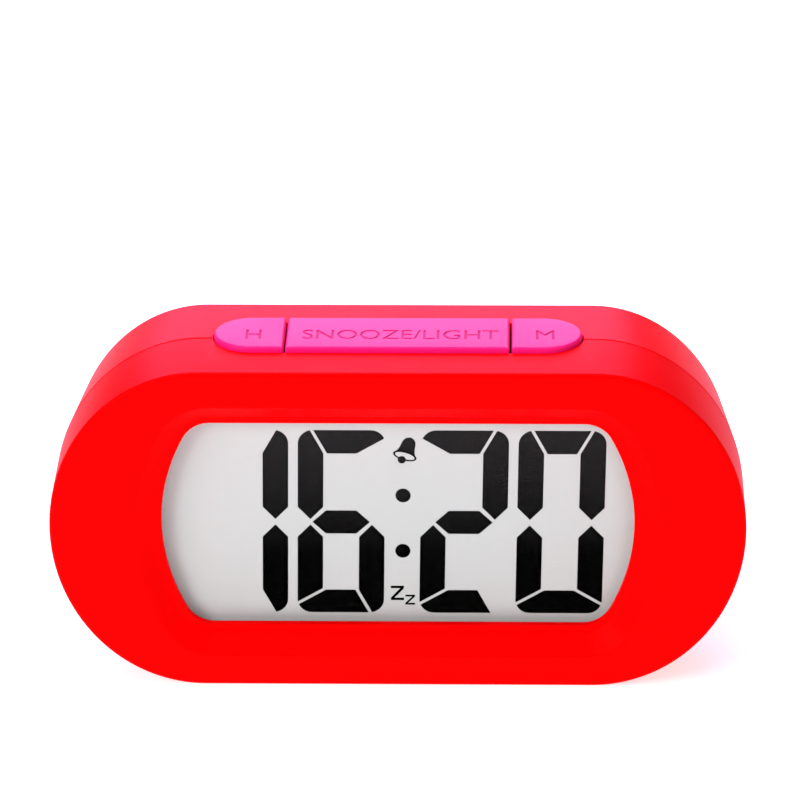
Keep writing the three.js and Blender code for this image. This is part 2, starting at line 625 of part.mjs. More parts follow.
function batteryDoor() {
  const panel = roundedRectangle(DOOR_LENGTH, DOOR_HEIGHT, 2, 0, BAY_Z);
  const [base, top] = [BAY_Z - DOOR_HEIGHT / 2, BAY_Z + DOOR_HEIGHT / 2];
  const outer = DOOR_FRONT + DOOR_THICKNESS;
  const tabFront = LEDGE_Y - 0.4 - DOOR_TAB.thickness;
  const tabs = [-1, 1].flatMap((side) => {
    const [low, high] = [-1, 1].map((s) => side * DOOR_TAB.x + (s * DOOR_TAB.width) / 2);
    const nose = tabFront + DOOR_TAB.thickness;
    return [
      box([low, tabFront, base + 0.2], [high, DOOR_FRONT + 0.5, base + DOOR_TAB.root]),
      box([low, tabFront, base - DOOR_TAB.reach + 0.2], [high, nose, base + 0.5]),
    ];
  });
  // A slot round three sides frees the latch's tongue.
  const half = LATCH.width / 2;
  const slots = [-1, 1].map((side) => {
    const [low, high] = side < 0 ? [-half - LATCH.slot, -half] : [half, half + LATCH.slot];
    return box([low, DOOR_FRONT - 1, top - LATCH.length], [high, outer + 1, top + 1]);
  });
  const thumb = box([-half + 2, outer - 0.5, top - 4], [half - 2, outer + 1, top - 3]);
  return carve(slab(panel, DOOR_FRONT, outer, 4), { add: tabs, cut: [...slots, thumb] });
}

// ---- The display --------------------------------------------------------------------------------

function lensWindow() {
  const rings = [
    windowRing(LENS_FRONT, -LENS_CLEARANCE),
    windowRing(FLANGE_FRONT, -LENS_CLEARANCE),
    windowRing(FLANGE_FRONT, LENS_FLANGE),
    windowRing(FLANGE_BACK, LENS_FLANGE),
  ];
  return loft(rings.reverse(), false);
}

/** Round ears for screws, joined to the sides of a rectangle of the given width. */
function ears(width, front, back) {
  return DISPLAY_SCREWS.flatMap(([x, z]) => {
    const [low, high] = [x, (Math.sign(x) * (width - 2)) / 2].sort((a, b) => a - b);
    return [
      rod(EAR_RADIUS, x, z, front, back),
      box([low, front, z - EAR_RADIUS], [high, back, z + EAR_RADIUS]),
    ];
  });
}

const earHoles = (front, back) =>
  DISPLAY_SCREWS.map(([x, z]) =>
    rod(DISPLAY_SCREW.shank + THROUGH_CLEARANCE, x, z, front - 1, back + 1, 12),
  );

function displayFrame() {
  const outer = roundedRectangle(FRAME_WIDTH, FRAME_HEIGHT, 2, 0, DISPLAY_Z);
  const pocketFront = BEZEL_FRONT + BEZEL_THICKNESS;
  const pocket = box(
    [-POCKET_WIDTH / 2, pocketFront, DISPLAY_Z - POCKET_HEIGHT / 2],
    [POCKET_WIDTH / 2, FRAME_BACK + 1, DISPLAY_Z + POCKET_HEIGHT / 2],
  );
  const opening = loft(
    [
      windowRing(pocketFront + 1, BEZEL_MARGIN),
      windowRing(BEZEL_FRONT - 1, BEZEL_MARGIN),
    ],
    false,
  );
  const earFront = FRAME_BACK - EAR_THICKNESS;
  return carve(slab(outer, BEZEL_FRONT, FRAME_BACK, 4), {
    add: ears(FRAME_WIDTH, earFront, FRAME_BACK),
    cut: [pocket, opening, ...earHoles(earFront, FRAME_BACK)],
  });
}

/** A plain sheet or plate of the display stack, centred on the display. */
function plate(width, height, front, thickness, rise = 0) {
  const centre = DISPLAY_Z + rise;
  return box(
    [-width / 2, front, centre - height / 2],
    [width / 2, front + thickness, centre + height / 2],
  );
}

function mainBoard() {
  const width = FRAME_WIDTH - 2 * BOARD_MARGIN;
  const height = FRAME_HEIGHT - 2 * BOARD_MARGIN;
  const outline = roundedRectangle(width, height, 1.5, 0, DISPLAY_Z);
  return carve(slab(outline, BOARD_FRONT, BOARD_BACK, 3), {
    add: ears(width, BOARD_FRONT, BOARD_BACK),
    cut: earHoles(BOARD_FRONT, BOARD_BACK),
  });
}

function display() {
  const group = new THREE.Group();
  const ZEBRA = { length: 100, height: 2, thickness: GUIDE_FRONT + GUIDE_THICKNESS - DIFFUSER_FRONT };
  const LED = { length: 2.2, height: 3.5, thickness: 2.2 };
  const CHIP_RADIUS = 7;
  const CRYSTAL = { radius: 1.5, length: 8 };
  const CAPACITOR = { radius: 3, length: 7 };
  const guideTop = GUIDE_HEIGHT / 2;
  const zebraZ = DISPLAY_Z - LCD_HEIGHT / 2 + ZEBRA.height / 2 + 0.2;
  group.add(
    mesh("lens_window", lensWindow(), CLEAR_ACRYLIC),
    mesh("display_frame", displayFrame(), WHITE_ABS),
    mesh("lcd_panel", plate(LCD_WIDTH, LCD_HEIGHT, LCD_FRONT, LCD_THICKNESS), DISPLAY_GLASS),
    mesh("main_board", mainBoard(), CIRCUIT_BOARD),
  );
  const backing = [
    ["diffuser_sheet", DIFFUSER_FRONT, DIFFUSER_THICKNESS, WHITE_FILM],
    ["light_guide", GUIDE_FRONT, GUIDE_THICKNESS, CLEAR_ACRYLIC],
    ["reflector_sheet", REFLECTOR_FRONT, REFLECTOR_THICKNESS, WHITE_FILM],
  ];
  backing.forEach(([name, front, thickness, look]) =>
    group.add(mesh(name, plate(GUIDE_WIDTH, GUIDE_HEIGHT, front, thickness), look)),
  );
  for (const [side, name] of [[-1, "left"], [1, "right"]]) {
    const led = new THREE.BoxGeometry(LED.length, LED.thickness, LED.height);
    const lamp = mesh("backlight_led_" + name, led, WHITE_ABS);
    const x = GUIDE_WIDTH / 2 + LED.length / 2 + 0.3;
    lamp.position.set(side * x, GUIDE_FRONT + GUIDE_THICKNESS / 2, DISPLAY_Z);
    group.add(lamp);
  }
  const strip = new THREE.BoxGeometry(ZEBRA.length, ZEBRA.thickness, ZEBRA.height);
  const zebra = mesh("zebra_connector", strip, RUBBER_GREY);
  zebra.position.set(0, DIFFUSER_FRONT + ZEBRA.thickness / 2, zebraZ);
  const dome = new THREE.LatheGeometry(
    [[0, 0], [CHIP_RADIUS, 0], [0.9 * CHIP_RADIUS, 0.8], [0.5 * CHIP_RADIUS, 1.5], [0, 1.8]].map(
      ([x, y]) => new THREE.Vector2(x, y),
    ),
    ROUND_STEPS,
  );
  const chip = mesh("clock_chip", dome, BLACK_PLASTIC);
  chip.position.set(0, BOARD_BACK, DISPLAY_Z);
  const can = new THREE.CylinderGeometry(CRYSTAL.radius, CRYSTAL.radius, CRYSTAL.length, 16);
  const crystal = mesh("quartz_crystal", can.rotateZ(Math.PI / 2), NICKEL);
  crystal.position.set(-22, BOARD_BACK + CRYSTAL.radius + 0.1, DISPLAY_Z + guideTop / 4);
  const barrel = new THREE.CylinderGeometry(CAPACITOR.radius, CAPACITOR.radius, CAPACITOR.length, 16);
  const capacitor = mesh("capacitor", barrel, BLACK_PLASTIC);
  capacitor.position.set(-40, BOARD_BACK + CAPACITOR.length / 2 + 0.1, DISPLAY_Z - guideTop / 2);
  group.add(zebra, chip, crystal, capacitor);
  return group;
}

// ---- The keys -----------------------------------------------------------------------------------

/** The whole key strip as one hollow body with a flange, before it is parted into keys. */
function keyStrip() {
  const edge = quarterRound(KEY_EDGE, 3).map(([inset, on]) =>
    stripRing(KEY_TOP - KEY_EDGE + on, -inset),
  );
  const body = loft(
    [
      stripRing(KEY_BASE, KEY_FLANGE),
      stripRing(FLANGE_TOP, KEY_FLANGE),
      stripRing(FLANGE_TOP, 0),
      stripRing(KEY_TOP - KEY_EDGE, 0),
      ...edge,
    ],
    false,
  );
  const hollow = loft(
    [stripRing(KEY_BASE - 1, -KEY_WALL), stripRing(KEY_TOP - KEY_WALL, -KEY_WALL)],
    false,
  );
  return carve(body, { cut: [hollow] });
}

/** One key: its share of the strip, closed at both ends, with the post that works its switch. */
function key(strip, low, high, switchX) {
  const [deep, under] = [STRIP_DEPTH, KEY_BASE - 1];
  const share = box([low, -deep, under], [high, deep, KEY_TOP + 1]);
  const closed = (end, sign) => {
    const [from, to] = [end, end + sign * KEY_WALL].sort((a, b) => a - b);
    const half = STRIP_DEPTH / 2 - KEY_WALL + 0.1;
    return box(
      [from, STRIP_Y - half, KEY_BASE],
      [to, STRIP_Y + half, KEY_TOP - KEY_WALL + 0.1],
    );
  };
  const ends = [];
  if (low > -STRIP_LENGTH / 2) ends.push(closed(low, 1));
  if (high < STRIP_LENGTH / 2) ends.push(closed(high, -1));
  const taken = geometryOf(solid(strip).intersect(solid(share)));
  const stem = post(KEY_POST_RADIUS, switchX, STRIP_Y, PLUNGER_TOP + 0.1, KEY_TOP - KEY_WALL / 2);
  return carve(taken, { add: [...ends, stem] });
}

function keys() {
  const group = new THREE.Group();
  const strip = keyStrip();
  const part = SNOOZE_LENGTH / 2;
  const past = STRIP_LENGTH;
  const layout = [
    ["hour", -past, -part - KEY_GAP, -SWITCH_X],
    ["snooze", -part, part, 0],
    ["minute", part + KEY_GAP, past, SWITCH_X],
  ];
  const half = SWITCH_SIDE / 2;
  for (const [name, low, high, x] of layout) {
    group.add(mesh(name + "_button", key(strip, low, high, x), PINK_KEY));
    const well = post(PLUNGER_RADIUS + PLUNGER_CLEARANCE, 0, 0, 1.2, SWITCH_HEIGHT + 1);
    const body = mesh(
      name + "_switch_body",
      carve(box([-half, -half, 0], [half, half, SWITCH_HEIGHT]), { cut: [well] }),
      STEEL,
    );
    body.position.set(x, STRIP_Y, KEY_BOARD_TOP);
    const depth = 1.2; // of the plunger inside the switch, at rest
    const plunger = mesh(
      name + "_switch_plunger",
      post(PLUNGER_RADIUS, 0, 0, -depth, PLUNGER_RISE),
      BLACK_PLASTIC,
    );
    plunger.position.set(x, STRIP_Y, SWITCH_TOP);
    group.add(body, plunger);
  }
  const length = KEY_BOARD_LENGTH / 2;
  const board = box(
    [-length, KEY_BOARD_FRONT, KEY_BOARD_BASE],
    [length, KEY_BOARD_BACK, KEY_BOARD_TOP],
  );
  group.add(mesh("key_board", board, CIRCUIT_BOARD));
  return group;
}

// ---- The back -----------------------------------------------------------------------------------

/** One slide switch: its body on the board, its lever, and the slider that a finger moves. */
function slideSwitch(name, x, low, high) {
  const group = new THREE.Group();
  group.position.set(x, 0, SLIDER_Z);
  const reach = Math.max(high, -low);
  const [grip, shoe, gap] = [SLIDER_GRIP, SLIDER_SHOE, SLIDER_CLEARANCE];
  const centre = (low + high) / 2;
  const bodyHalf = LEVER_SIDE / 2 + (high - low) / 2 + 1.6;
  const lever = LEVER_SIDE / 2;
  const slotHalf = (high - low) / 2 + lever + 0.2;
  const width = SLIDE_SWITCH.width / 2;
  const body = carve(
    box([centre - bodyHalf, SWITCH_BOARD_BACK, -width], [centre + bodyHalf, SLIDE_SWITCH_BACK, width]),
    {
      cut: [
        box(
          [centre - slotHalf, SLIDE_SWITCH_BACK - 1.4, -lever - 0.2],
          [centre + slotHalf, SLIDE_SWITCH_BACK + 1, lever + 0.2],
        ),
      ],
    },
  );
  const leverBack = SLIDE_SWITCH_BACK + LEVER_RISE;
  const leverBar = box([-lever, SLIDE_SWITCH_BACK - 1.2, -lever], [lever, leverBack, lever]);
  const shoeHalf = grip.length / 2 + reach + 2;
  const slider = carve(
    box([-shoeHalf, SHOE_FRONT, -shoe.width / 2], [shoeHalf, SHOE_BACK, shoe.width / 2]),
    {
      add: [
        box(
          [-grip.length / 2, SHOE_BACK - 0.5, -grip.width / 2],
          [grip.length / 2, GRIP_BACK, grip.width / 2],
        ),
      ],
      cut: [
        box([-lever - gap, SHOE_FRONT - 1, -lever - gap], [lever + gap, leverBack + 0.2, lever + gap]),
        ...[-1, 0, 1].map((i) =>
          box([i * 1.2 - 0.25, GRIP_BACK - 0.4, -2], [i * 1.2 + 0.25, GRIP_BACK + 1, 2]),
        ),
      ],
    },
  );
  group.add(
    mesh(name + "_switch_body", body, STEEL),
    mesh(name + "_switch_lever", leverBar, BLACK_PLASTIC),
    mesh(name + "_slider", slider, PINK_KEY),
  );
  return group;
}

function switchBoard() {
  const outline = roundedRectangle(SWITCH_BOARD_LENGTH, SWITCH_BOARD_HEIGHT, 1, 0, SLIDER_Z);
  const hole = BOARD_SCREW.shank + THROUGH_CLEARANCE;
  return carve(slab(outline, SWITCH_BOARD_FRONT, SWITCH_BOARD_BACK, 3), {
    cut: [-1, 1].map((s) =>
      rod(hole, s * POST_X, SLIDER_Z, SWITCH_BOARD_FRONT - 1, SWITCH_BOARD_BACK + 1, 12),
    ),
  });
}

/** A screw whose head's seat is at the origin and whose shank runs along -Y. */
function screw({ shank, head, headHeight, length, cross }) {
  const body = new THREE.LatheGeometry(
    [
      [0, -length],
      [0.4 * shank, -length],
      [shank, -length + 1.2],
      [shank, 0],
      [head, 0],
      [head, headHeight * 0.5],
      [head * 0.7, headHeight],
      [0, headHeight],
    ].map(([x, y]) => new THREE.Vector2(x, y)),
    12,
  );
  const arm = head * 0.6;
  const deep = headHeight * 0.5;
  const bars = [
    box([-arm, deep, -cross], [arm, headHeight + 1, cross]),
    box([-cross, deep, -arm], [cross, headHeight + 1, arm]),
  ];
  return carve(body, { cut: bars });
}

/** A cell with its nub towards +X. */
function cell() {
  const half = CELL_LENGTH / 2;
  const profile = [
    [0, -half],
    [CELL_RADIUS - 0.6, -half],
    [CELL_RADIUS, -half + 0.6],
    [CELL_RADIUS, half - 0.6],
    [CELL_RADIUS - 0.6, half],
    [NUB_RADIUS, half],
    [NUB_RADIUS, half + NUB_LENGTH],
    [0, half + NUB_LENGTH],
  ];
  const body = new THREE.LatheGeometry(
    profile.map(([x, y]) => new THREE.Vector2(x, y)),
    ROUND_STEPS,
  );
  return body.rotateZ(-Math.PI / 2);
}

/** A cone of spring wire that starts in the plate at the origin and runs along +X. */
function contactSpring() {
  const { base, tip, wire, turns, length } = SPRING;
  const steps = turns * 8;
  const points = Array.from({ length: steps + 1 }, (_, i) => {
    const along = i / steps;
    const turn = 2 * Math.PI * turns * along;
    const radius = base + (tip - base) * along;
    const x = wire * 0.5 + (length - wire) * along;
    return [x, radius * Math.cos(turn), radius * Math.sin(turn)];
  });
  return tube(points, wire, steps, 2);
}

/** One end's contact: a plate over one cell or two, a spring for a cell's flat end, a solder tab. */
function contact(side, rises, springRise, tab) {
  const plateX = side * (BAY_LENGTH / 2 - 0.1 - CONTACT_THICKNESS / 2);
  const half = CONTACT_SIDE / 2;
  const [low, high] = [Math.min(...rises) - half, Math.max(...rises) + half];
  const plateBox = box(
    [plateX - CONTACT_THICKNESS / 2, CELL_Y - half, BAY_Z + low],
    [plateX + CONTACT_THICKNESS / 2, CELL_Y + half, BAY_Z + high],
  );
  const add = [];
  if (springRise !== null) {
    const coil = contactSpring();
    if (side > 0) coil.rotateZ(Math.PI);
    coil.translate(plateX - (side * CONTACT_THICKNESS) / 2, CELL_Y, BAY_Z + springRise);
    add.push(coil);
  }
  if (tab) {
    const [from, to] = [plateX, plateX + side * TAB_LENGTH].sort((a, b) => a - b);
    const z = BAY_Z + rises[0];
    const thin = CONTACT_THICKNESS / 2;
    add.push(
      box([from, CELL_Y - thin, z - TAB_WIDTH / 2], [to, CELL_Y + thin, z + TAB_WIDTH / 2]),
    );
  }
  return carve(plateBox, { add });
}

function batteries() {
  const group = new THREE.Group();
  const rises = [CELL_PITCH, 0, -CELL_PITCH];
  const nubTip = BAY_LENGTH / 2 - 0.1 - CONTACT_THICKNESS - 0.1;
  rises.forEach((rise, i) => {
    const side = i % 2 ? -1 : 1; // neighbours lie opposite ways
    const one = mesh("battery_" + (i + 1), cell(), CELL_SLEEVE);
    one.position.set(side * (nubTip - NUB_LENGTH - CELL_LENGTH / 2), CELL_Y, BAY_Z + rise);
    if (side < 0) one.rotation.y = Math.PI;
    group.add(one);
  });
  const [top, middle, bottom] = rises;
  group.add(
    mesh("contact_positive", contact(1, [top], null, true), NICKEL),
    mesh("contact_bridge_left", contact(-1, [top, middle], top, false), NICKEL),
    mesh("contact_bridge_right", contact(1, [middle, bottom], middle, false), NICKEL),
    mesh("contact_negative", contact(-1, [bottom], bottom, true), NICKEL),
  );
  return group;
}

function sounder() {
  const group = new THREE.Group();
  const seat = BACK_INNER - CUP_HEIGHT / 2;
  const ceramicFront = seat - BUZZER_THICKNESS - CERAMIC_THICKNESS;
  group.add(
    mesh(
      "buzzer_disc",
      rod(BUZZER_RADIUS, BUZZER_X, BUZZER_Z, seat - BUZZER_THICKNESS, seat),
      BRASS,
    ),
    mesh(
      "buzzer_ceramic",
      rod(CERAMIC_RADIUS, BUZZER_X, BUZZER_Z, ceramicFront - 0.05, ceramicFront + CERAMIC_THICKNESS - 0.05),
      CERAMIC,
    ),
  );
  return group;
}

/** The leads and flat cables, each soldered at both ends and held inside the case. */
function wiring() {
  const group = new THREE.Group();
  const end = BOARD_BACK + SOLDER_GAP;
  const tabEnd = BAY_LENGTH / 2 - 0.3 + TAB_LENGTH + 0.4;
  const lead = (name, points, look) =>
    group.add(mesh(name, tube(points, LEAD_RADIUS, 14, 2), look));
  for (const [name, side, rise, look] of [
    ["battery_lead_red", 1, CELL_PITCH, LEAD_RED],
    ["battery_lead_black", -1, -CELL_PITCH, LEAD_BLACK],
  ]) {
    const z = BAY_Z + rise;
    const start = side * tabEnd;
    const points = [
      [start, CELL_Y, z],
      [start + side * 2, CELL_Y - 2, z],
      [start + side * 3, 6, z + 1],
      [start + side * 2, 0, z + 1],
      [start + side * 1, -3, z],
      [start + side * 1, end, z],
    ];
    lead(name, points, look);
  }
  const buzzerFront = BACK_INNER - CUP_HEIGHT / 2 - BUZZER_THICKNESS - CERAMIC_THICKNESS - 0.5;
  for (const [name, shift, look] of [
    ["buzzer_lead_red", 2.5, LEAD_RED],
    ["buzzer_lead_black", -2.5, LEAD_BLACK],
  ]) {
    const z = BUZZER_Z + shift;
    const points = [
      [BUZZER_X, buzzerFront, z],
      [BUZZER_X, buzzerFront - 3, z],
      [BUZZER_X - 3, 6, z + shift],
      [BUZZER_X - 3, 0, z + shift],
      [BUZZER_X - 1, end, z + shift],
    ];
    lead(name, points, look);
  }
  const keyFoot = KEY_BOARD_BASE - SOLDER_GAP;
  const keyRibbon = [
    [2, keyFoot],
    [2, keyFoot - 2.5],
    [-1, keyFoot - 6],
    [-4, keyFoot - 7],
    [end, keyFoot - 7],
  ];
  const switchRibbon = [
    [SWITCH_BOARD_FRONT - SOLDER_GAP, SLIDER_Z - 3],
    [SWITCH_BOARD_FRONT - 3, SLIDER_Z - 4],
    [3, SLIDER_Z - 6],
    [-3, SLIDER_Z - 7],
    [end, SLIDER_Z - 7],
  ];
  group.add(
    mesh("key_ribbon", flatCable(keyRibbon, 0.7, 12, 22), RIBBON_GREY),
    mesh("switch_ribbon", flatCable(switchRibbon, 0.7, -26, -14), RIBBON_GREY),
  );
  return group;
}

/** Screws of one kind, numbered, with their heads towards the back. */
function screws(name, places, kind, seat) {
  const group = new THREE.Group();
  places.forEach(([x, z], i) => {
    const one = mesh(name + "_" + (i + 1), screw(kind), STEEL);
    one.position.set(x, seat, z);
    group.add(one);
  });
  return group;
}

/** The switch board's screws go in from the front, so they are turned round. */
function boardScrews() {
  const group = new THREE.Group();
  [-1, 1].forEach((side, i) => {
    const one = mesh("switch_board_screw_" + (i + 1), screw(BOARD_SCREW), STEEL);
    one.position.set(side * POST_X, SWITCH_BOARD_FRONT - LAYER_GAP, SLIDER_Z);
    one.rotation.z = Math.PI;
    group.add(one);
  });
  return group;
}

// ---- The clock ----------------------------------------------------------------------------------

const clock = new THREE.Group();
clock.name = "alarm_clock";
clock.add(
  mesh("front_shell", frontShell(), RED_SOFT_TOUCH),
  mesh("rear_shell", rearShell(), RED_SOFT_TOUCH),
  mesh("battery_door", batteryDoor(), RED_SOFT_TOUCH),
  display(),
  keys(),
  slideSwitch("alarm", -SLIDER_X, 0, ALARM_TRAVEL),
  slideSwitch("mode", SLIDER_X, -MODE_TRAVEL, MODE_TRAVEL),
  mesh("switch_board", switchBoard(), CIRCUIT_BOARD),
  batteries(),
  sounder(),
  wiring(),
  screws("case_screw", CASE_SCREWS, CASE_SCREW, COUNTERBORE_FLOOR + LAYER_GAP),
  screws("display_screw", DISPLAY_SCREWS, DISPLAY_SCREW, BOARD_BACK + LAYER_GAP),
  boardScrews(),
);

export default clock;
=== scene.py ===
# %% [markdown]
# # A digital alarm clock
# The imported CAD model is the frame: it fixes every size and what moves. Here the parts that can be
# seen are made again with finer surfaces, and every part gets the finish of the real one.

# %% Load the frame
import json
import math
import bmesh
import bpy
import numpy as np
from mathutils import Euler, Matrix, Vector


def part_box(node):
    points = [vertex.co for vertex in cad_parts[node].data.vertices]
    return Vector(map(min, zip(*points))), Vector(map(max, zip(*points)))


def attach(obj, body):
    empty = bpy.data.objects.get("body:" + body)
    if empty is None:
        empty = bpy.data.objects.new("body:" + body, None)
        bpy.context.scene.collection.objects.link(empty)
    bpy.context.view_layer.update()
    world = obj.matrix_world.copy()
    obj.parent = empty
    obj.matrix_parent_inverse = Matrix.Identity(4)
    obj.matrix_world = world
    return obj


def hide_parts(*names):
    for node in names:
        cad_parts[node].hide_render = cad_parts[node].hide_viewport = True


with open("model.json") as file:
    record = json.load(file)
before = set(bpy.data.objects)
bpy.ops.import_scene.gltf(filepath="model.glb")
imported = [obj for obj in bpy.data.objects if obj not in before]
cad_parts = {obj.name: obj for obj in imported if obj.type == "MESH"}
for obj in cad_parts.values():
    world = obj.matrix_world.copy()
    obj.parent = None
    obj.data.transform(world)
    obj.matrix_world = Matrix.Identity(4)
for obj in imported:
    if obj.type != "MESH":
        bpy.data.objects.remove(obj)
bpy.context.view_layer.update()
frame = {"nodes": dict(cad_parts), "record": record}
MM = 0.001
NODES = [row["node"] for row in frame["record"]["subparts"]]
SLOT_OF = {row["node"]: row["material_slot"] for row in frame["record"]["subparts"]}


def box_mm(node):
    """The node's lowest and highest corners in millimetres."""
    return [np.array(corner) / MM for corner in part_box(node)]


HALF_WIDTH, BACK, HEIGHT = box_mm("rear_shell")[1]
FRONT = box_mm("front_shell")[0][1]
lens_low, lens_high = box_mm("lens_window")
DISPLAY_Z = (lens_low[2] + lens_high[2]) / 2
print("case", HALF_WIDTH * 2, BACK - FRONT, HEIGHT, "display centre", round(DISPLAY_Z, 2))

# %% [markdown]
# ## The camera and the light
# A long lens from far off keeps the sides nearly parallel, as in a catalogue picture. The light is
# soft and white from all round, with large panels above and in front, so the coated plastic shows no
# hard glare. One tinted panel behind skims the top, where the coat is seen nearly edge on.

# %% Camera
ELEVATION = math.radians(24.2)
AZIMUTH = math.radians(1.5)
ROLL = math.radians(0.42)
DISTANCE = 1100
CENTRE, HEADROOM = np.array([0.05, 0, 38.5]), 22  # the picture's middle is this far above the clock's
aim = CENTRE + HEADROOM * np.array([0, math.sin(ELEVATION), math.cos(ELEVATION)])
away = np.array([
    math.sin(AZIMUTH) * math.cos(ELEVATION),
    -math.cos(AZIMUTH) * math.cos(ELEVATION),
    math.sin(ELEVATION),
])
camera_data = bpy.data.cameras.new("camera")
camera_data.lens = 213.0
camera_data.sensor_width = 36
camera_data.clip_end = 10  # metres
camera = bpy.data.objects.new("camera", camera_data)
camera.location = (aim + away * DISTANCE) * MM
turned = Euler((math.pi / 2 - ELEVATION, 0, AZIMUTH)).to_matrix() @ Matrix.Rotation(-ROLL, 3, "Z")
camera.rotation_euler = turned.to_euler()
bpy.context.collection.objects.link(camera)
bpy.context.scene.camera = camera
bpy.context.scene.view_settings.view_transform = "Standard"


# %% Lights, world and floor
def area_light(name, place, size, watts, colour=(1, 1, 1)):
    """A square soft panel at a place in metres, turned to face the clock's middle."""
    data = bpy.data.lights.new(name, "AREA")
    data.size, data.energy, data.color = size, watts, colour
    light = bpy.data.objects.new(name, data)
    light.location = place
    facing = Vector((0, 0, 0.04)) - Vector(place)
    light.rotation_euler = facing.to_track_quat("-Z", "Y").to_euler()
    bpy.context.collection.objects.link(light)


area_light("panel_above", (-0.2, -0.1, 1.2), 0.9, 8)
area_light("panel_front_left", (-1.1, -1.0, 0.75), 0.8, 16)
area_light("panel_front_right", (0.9, -1.0, 0.5), 0.9, 3)
# A pink-gelled panel low behind the clock skims its top and gives the coat its pale bloom.
area_light("panel_behind", (-0.12, 1.25, 0.62), 0.9, 22, (1, 0.43, 0.93))
world = bpy.data.worlds.new("studio")
world.use_nodes = True
backdrop = world.node_tree.nodes["Background"].inputs
backdrop["Color"].default_value, backdrop["Strength"].default_value = (1, 1, 1, 1), 0.17
bpy.context.scene.world = world

# %% [markdown]
# ## Finishes
# Each finish starts from the real one and how its surface was made. One small function adds a node.
# The coated plastic's tone wanders by a percent or two, and its grain breaks up the highlight.


# %% Colour and node helpers
def linear(hex_colour):
    """sRGB hex to linear light: c/12.92 below 0.04045, else ((c + 0.055)/1.055) to the power 2.4."""
    srgb = np.array([int(hex_colour[i:i + 2], 16) for i in (1, 3, 5)]) / 255
    low, high = srgb / 12.92, ((srgb + 0.055) / 1.055) ** 2.4
    return (*np.where(srgb <= 0.04045, low, high), 1.0)


def add_node(tree, kind, inputs=None, **settings):
    """Adds one node: settings go on the node, and inputs are values or sockets to link from."""
    made = tree.nodes.new(kind)
    for name, value in settings.items():
        setattr(made, name, value)
    for name, value in (inputs or {}).items():
        if isinstance(value, bpy.types.NodeSocket):
            tree.links.new(value, made.inputs[name])
        else:
            made.inputs[name].default_value = value
    return made


def start_material(name):
    """An empty node material with its output, and the object's coordinates in metres."""
    made = bpy.data.materials.new(name)
    made.use_nodes = True
    tree = made.node_tree
    tree.nodes.clear()
    place = add_node(tree, "ShaderNodeTexCoord").outputs["Object"]
    return made, tree, place


def finish_material(tree, shader):
    """Puts a shader on the material's surface."""
    add_node(tree, "ShaderNodeOutputMaterial", {"Surface": shader.outputs[0]})


# %% A moulded, coated or printed surface
def surface(name, colour, tone, roughness, grain_mm, grain_depth_mm, patch_mm=25, stretch=(1, 1, 1),
            **shader_inputs):
    """colour and tone are the two ends of its slow drift, patch_mm across; the grain is a bump of
    grain_mm, and it also moves the roughness by a tenth either way. stretch draws the grain out."""
    made, tree, place = start_material(name)
    drift = add_node(tree, "ShaderNodeTexNoise", {"Vector": place, "Scale": 1 / (patch_mm * MM),
                                                  "Detail": 3.0})
    mix = add_node(tree, "ShaderNodeMix", {"Factor": drift.outputs["Fac"]}, data_type="RGBA")
    mix.inputs[6].default_value, mix.inputs[7].default_value = linear(colour), linear(tone)
    along = add_node(tree, "ShaderNodeMapping", {"Vector": place, "Scale": stretch})
    grain = add_node(tree, "ShaderNodeTexNoise", {"Vector": along.outputs[0],
                                                  "Scale": 1 / (grain_mm * MM), "Detail": 4.0})
    rough = add_node(tree, "ShaderNodeMapRange", {"Value": grain.outputs["Fac"], "From Min": 0.3,
                                                  "From Max": 0.7, "To Min": roughness * 0.9,
                                                  "To Max": roughness * 1.1})
    bump = add_node(tree, "ShaderNodeBump", {"Height": grain.outputs["Fac"], "Strength": 0.6,
                                             "Distance": grain_depth_mm * MM})
    shader = add_node(tree, "ShaderNodeBsdfPrincipled", {
        "Base Color": mix.outputs[2], "Roughness": rough.outputs[0], "Normal": bump.outputs[0],
        **shader_inputs})
    finish_material(tree, shader)
    return made


# ABS under a soft-touch coat: dead matt, with a faint pale bloom where it is seen edge on. The two
# halves are sprayed apart, and the front one comes out a little more matt.
def soft_touch(name, colour, tone, grain_mm, sheen, tint, gloss):
    """The coat, with its sheen's weight and tint, and gloss as the share of a bare plastic's."""
    return surface(name, colour, tone, 0.42, grain_mm, 0.01,
                   **{"Sheen Weight": sheen, "Sheen Roughness": 0.3, "IOR": 1.5,
                      "Sheen Tint": linear(tint), "Specular IOR Level": gloss})


SOFT_TOUCH_RED = soft_touch("soft_touch_red", "#F40001", "#F90001", 0.5, 0.05, "#FFA4DC", 0.019)
FRONT_RED = soft_touch("soft_touch_red_front", "#F40001", "#F90001", 0.5, 0.05, "#FF90DC", 0.014)
# The same coat on the keys and sliders, in pink, with a little more gloss.
SOFT_TOUCH_PINK = soft_touch("soft_touch_pink", "#F41880", "#FA1E86", 0.4, 0.05, "#FFC8C8", 0.09)
# The keys' sunk letters get a darker pink fill that stands in for the shade inside the cut: painted
# shade.
LEGEND_PAINTED_SHADE = surface("legend_pink", "#C01474", "#C81A7A", 0.6, 0.3, 0.01,
                      **{"Specular IOR Level": 0.1})
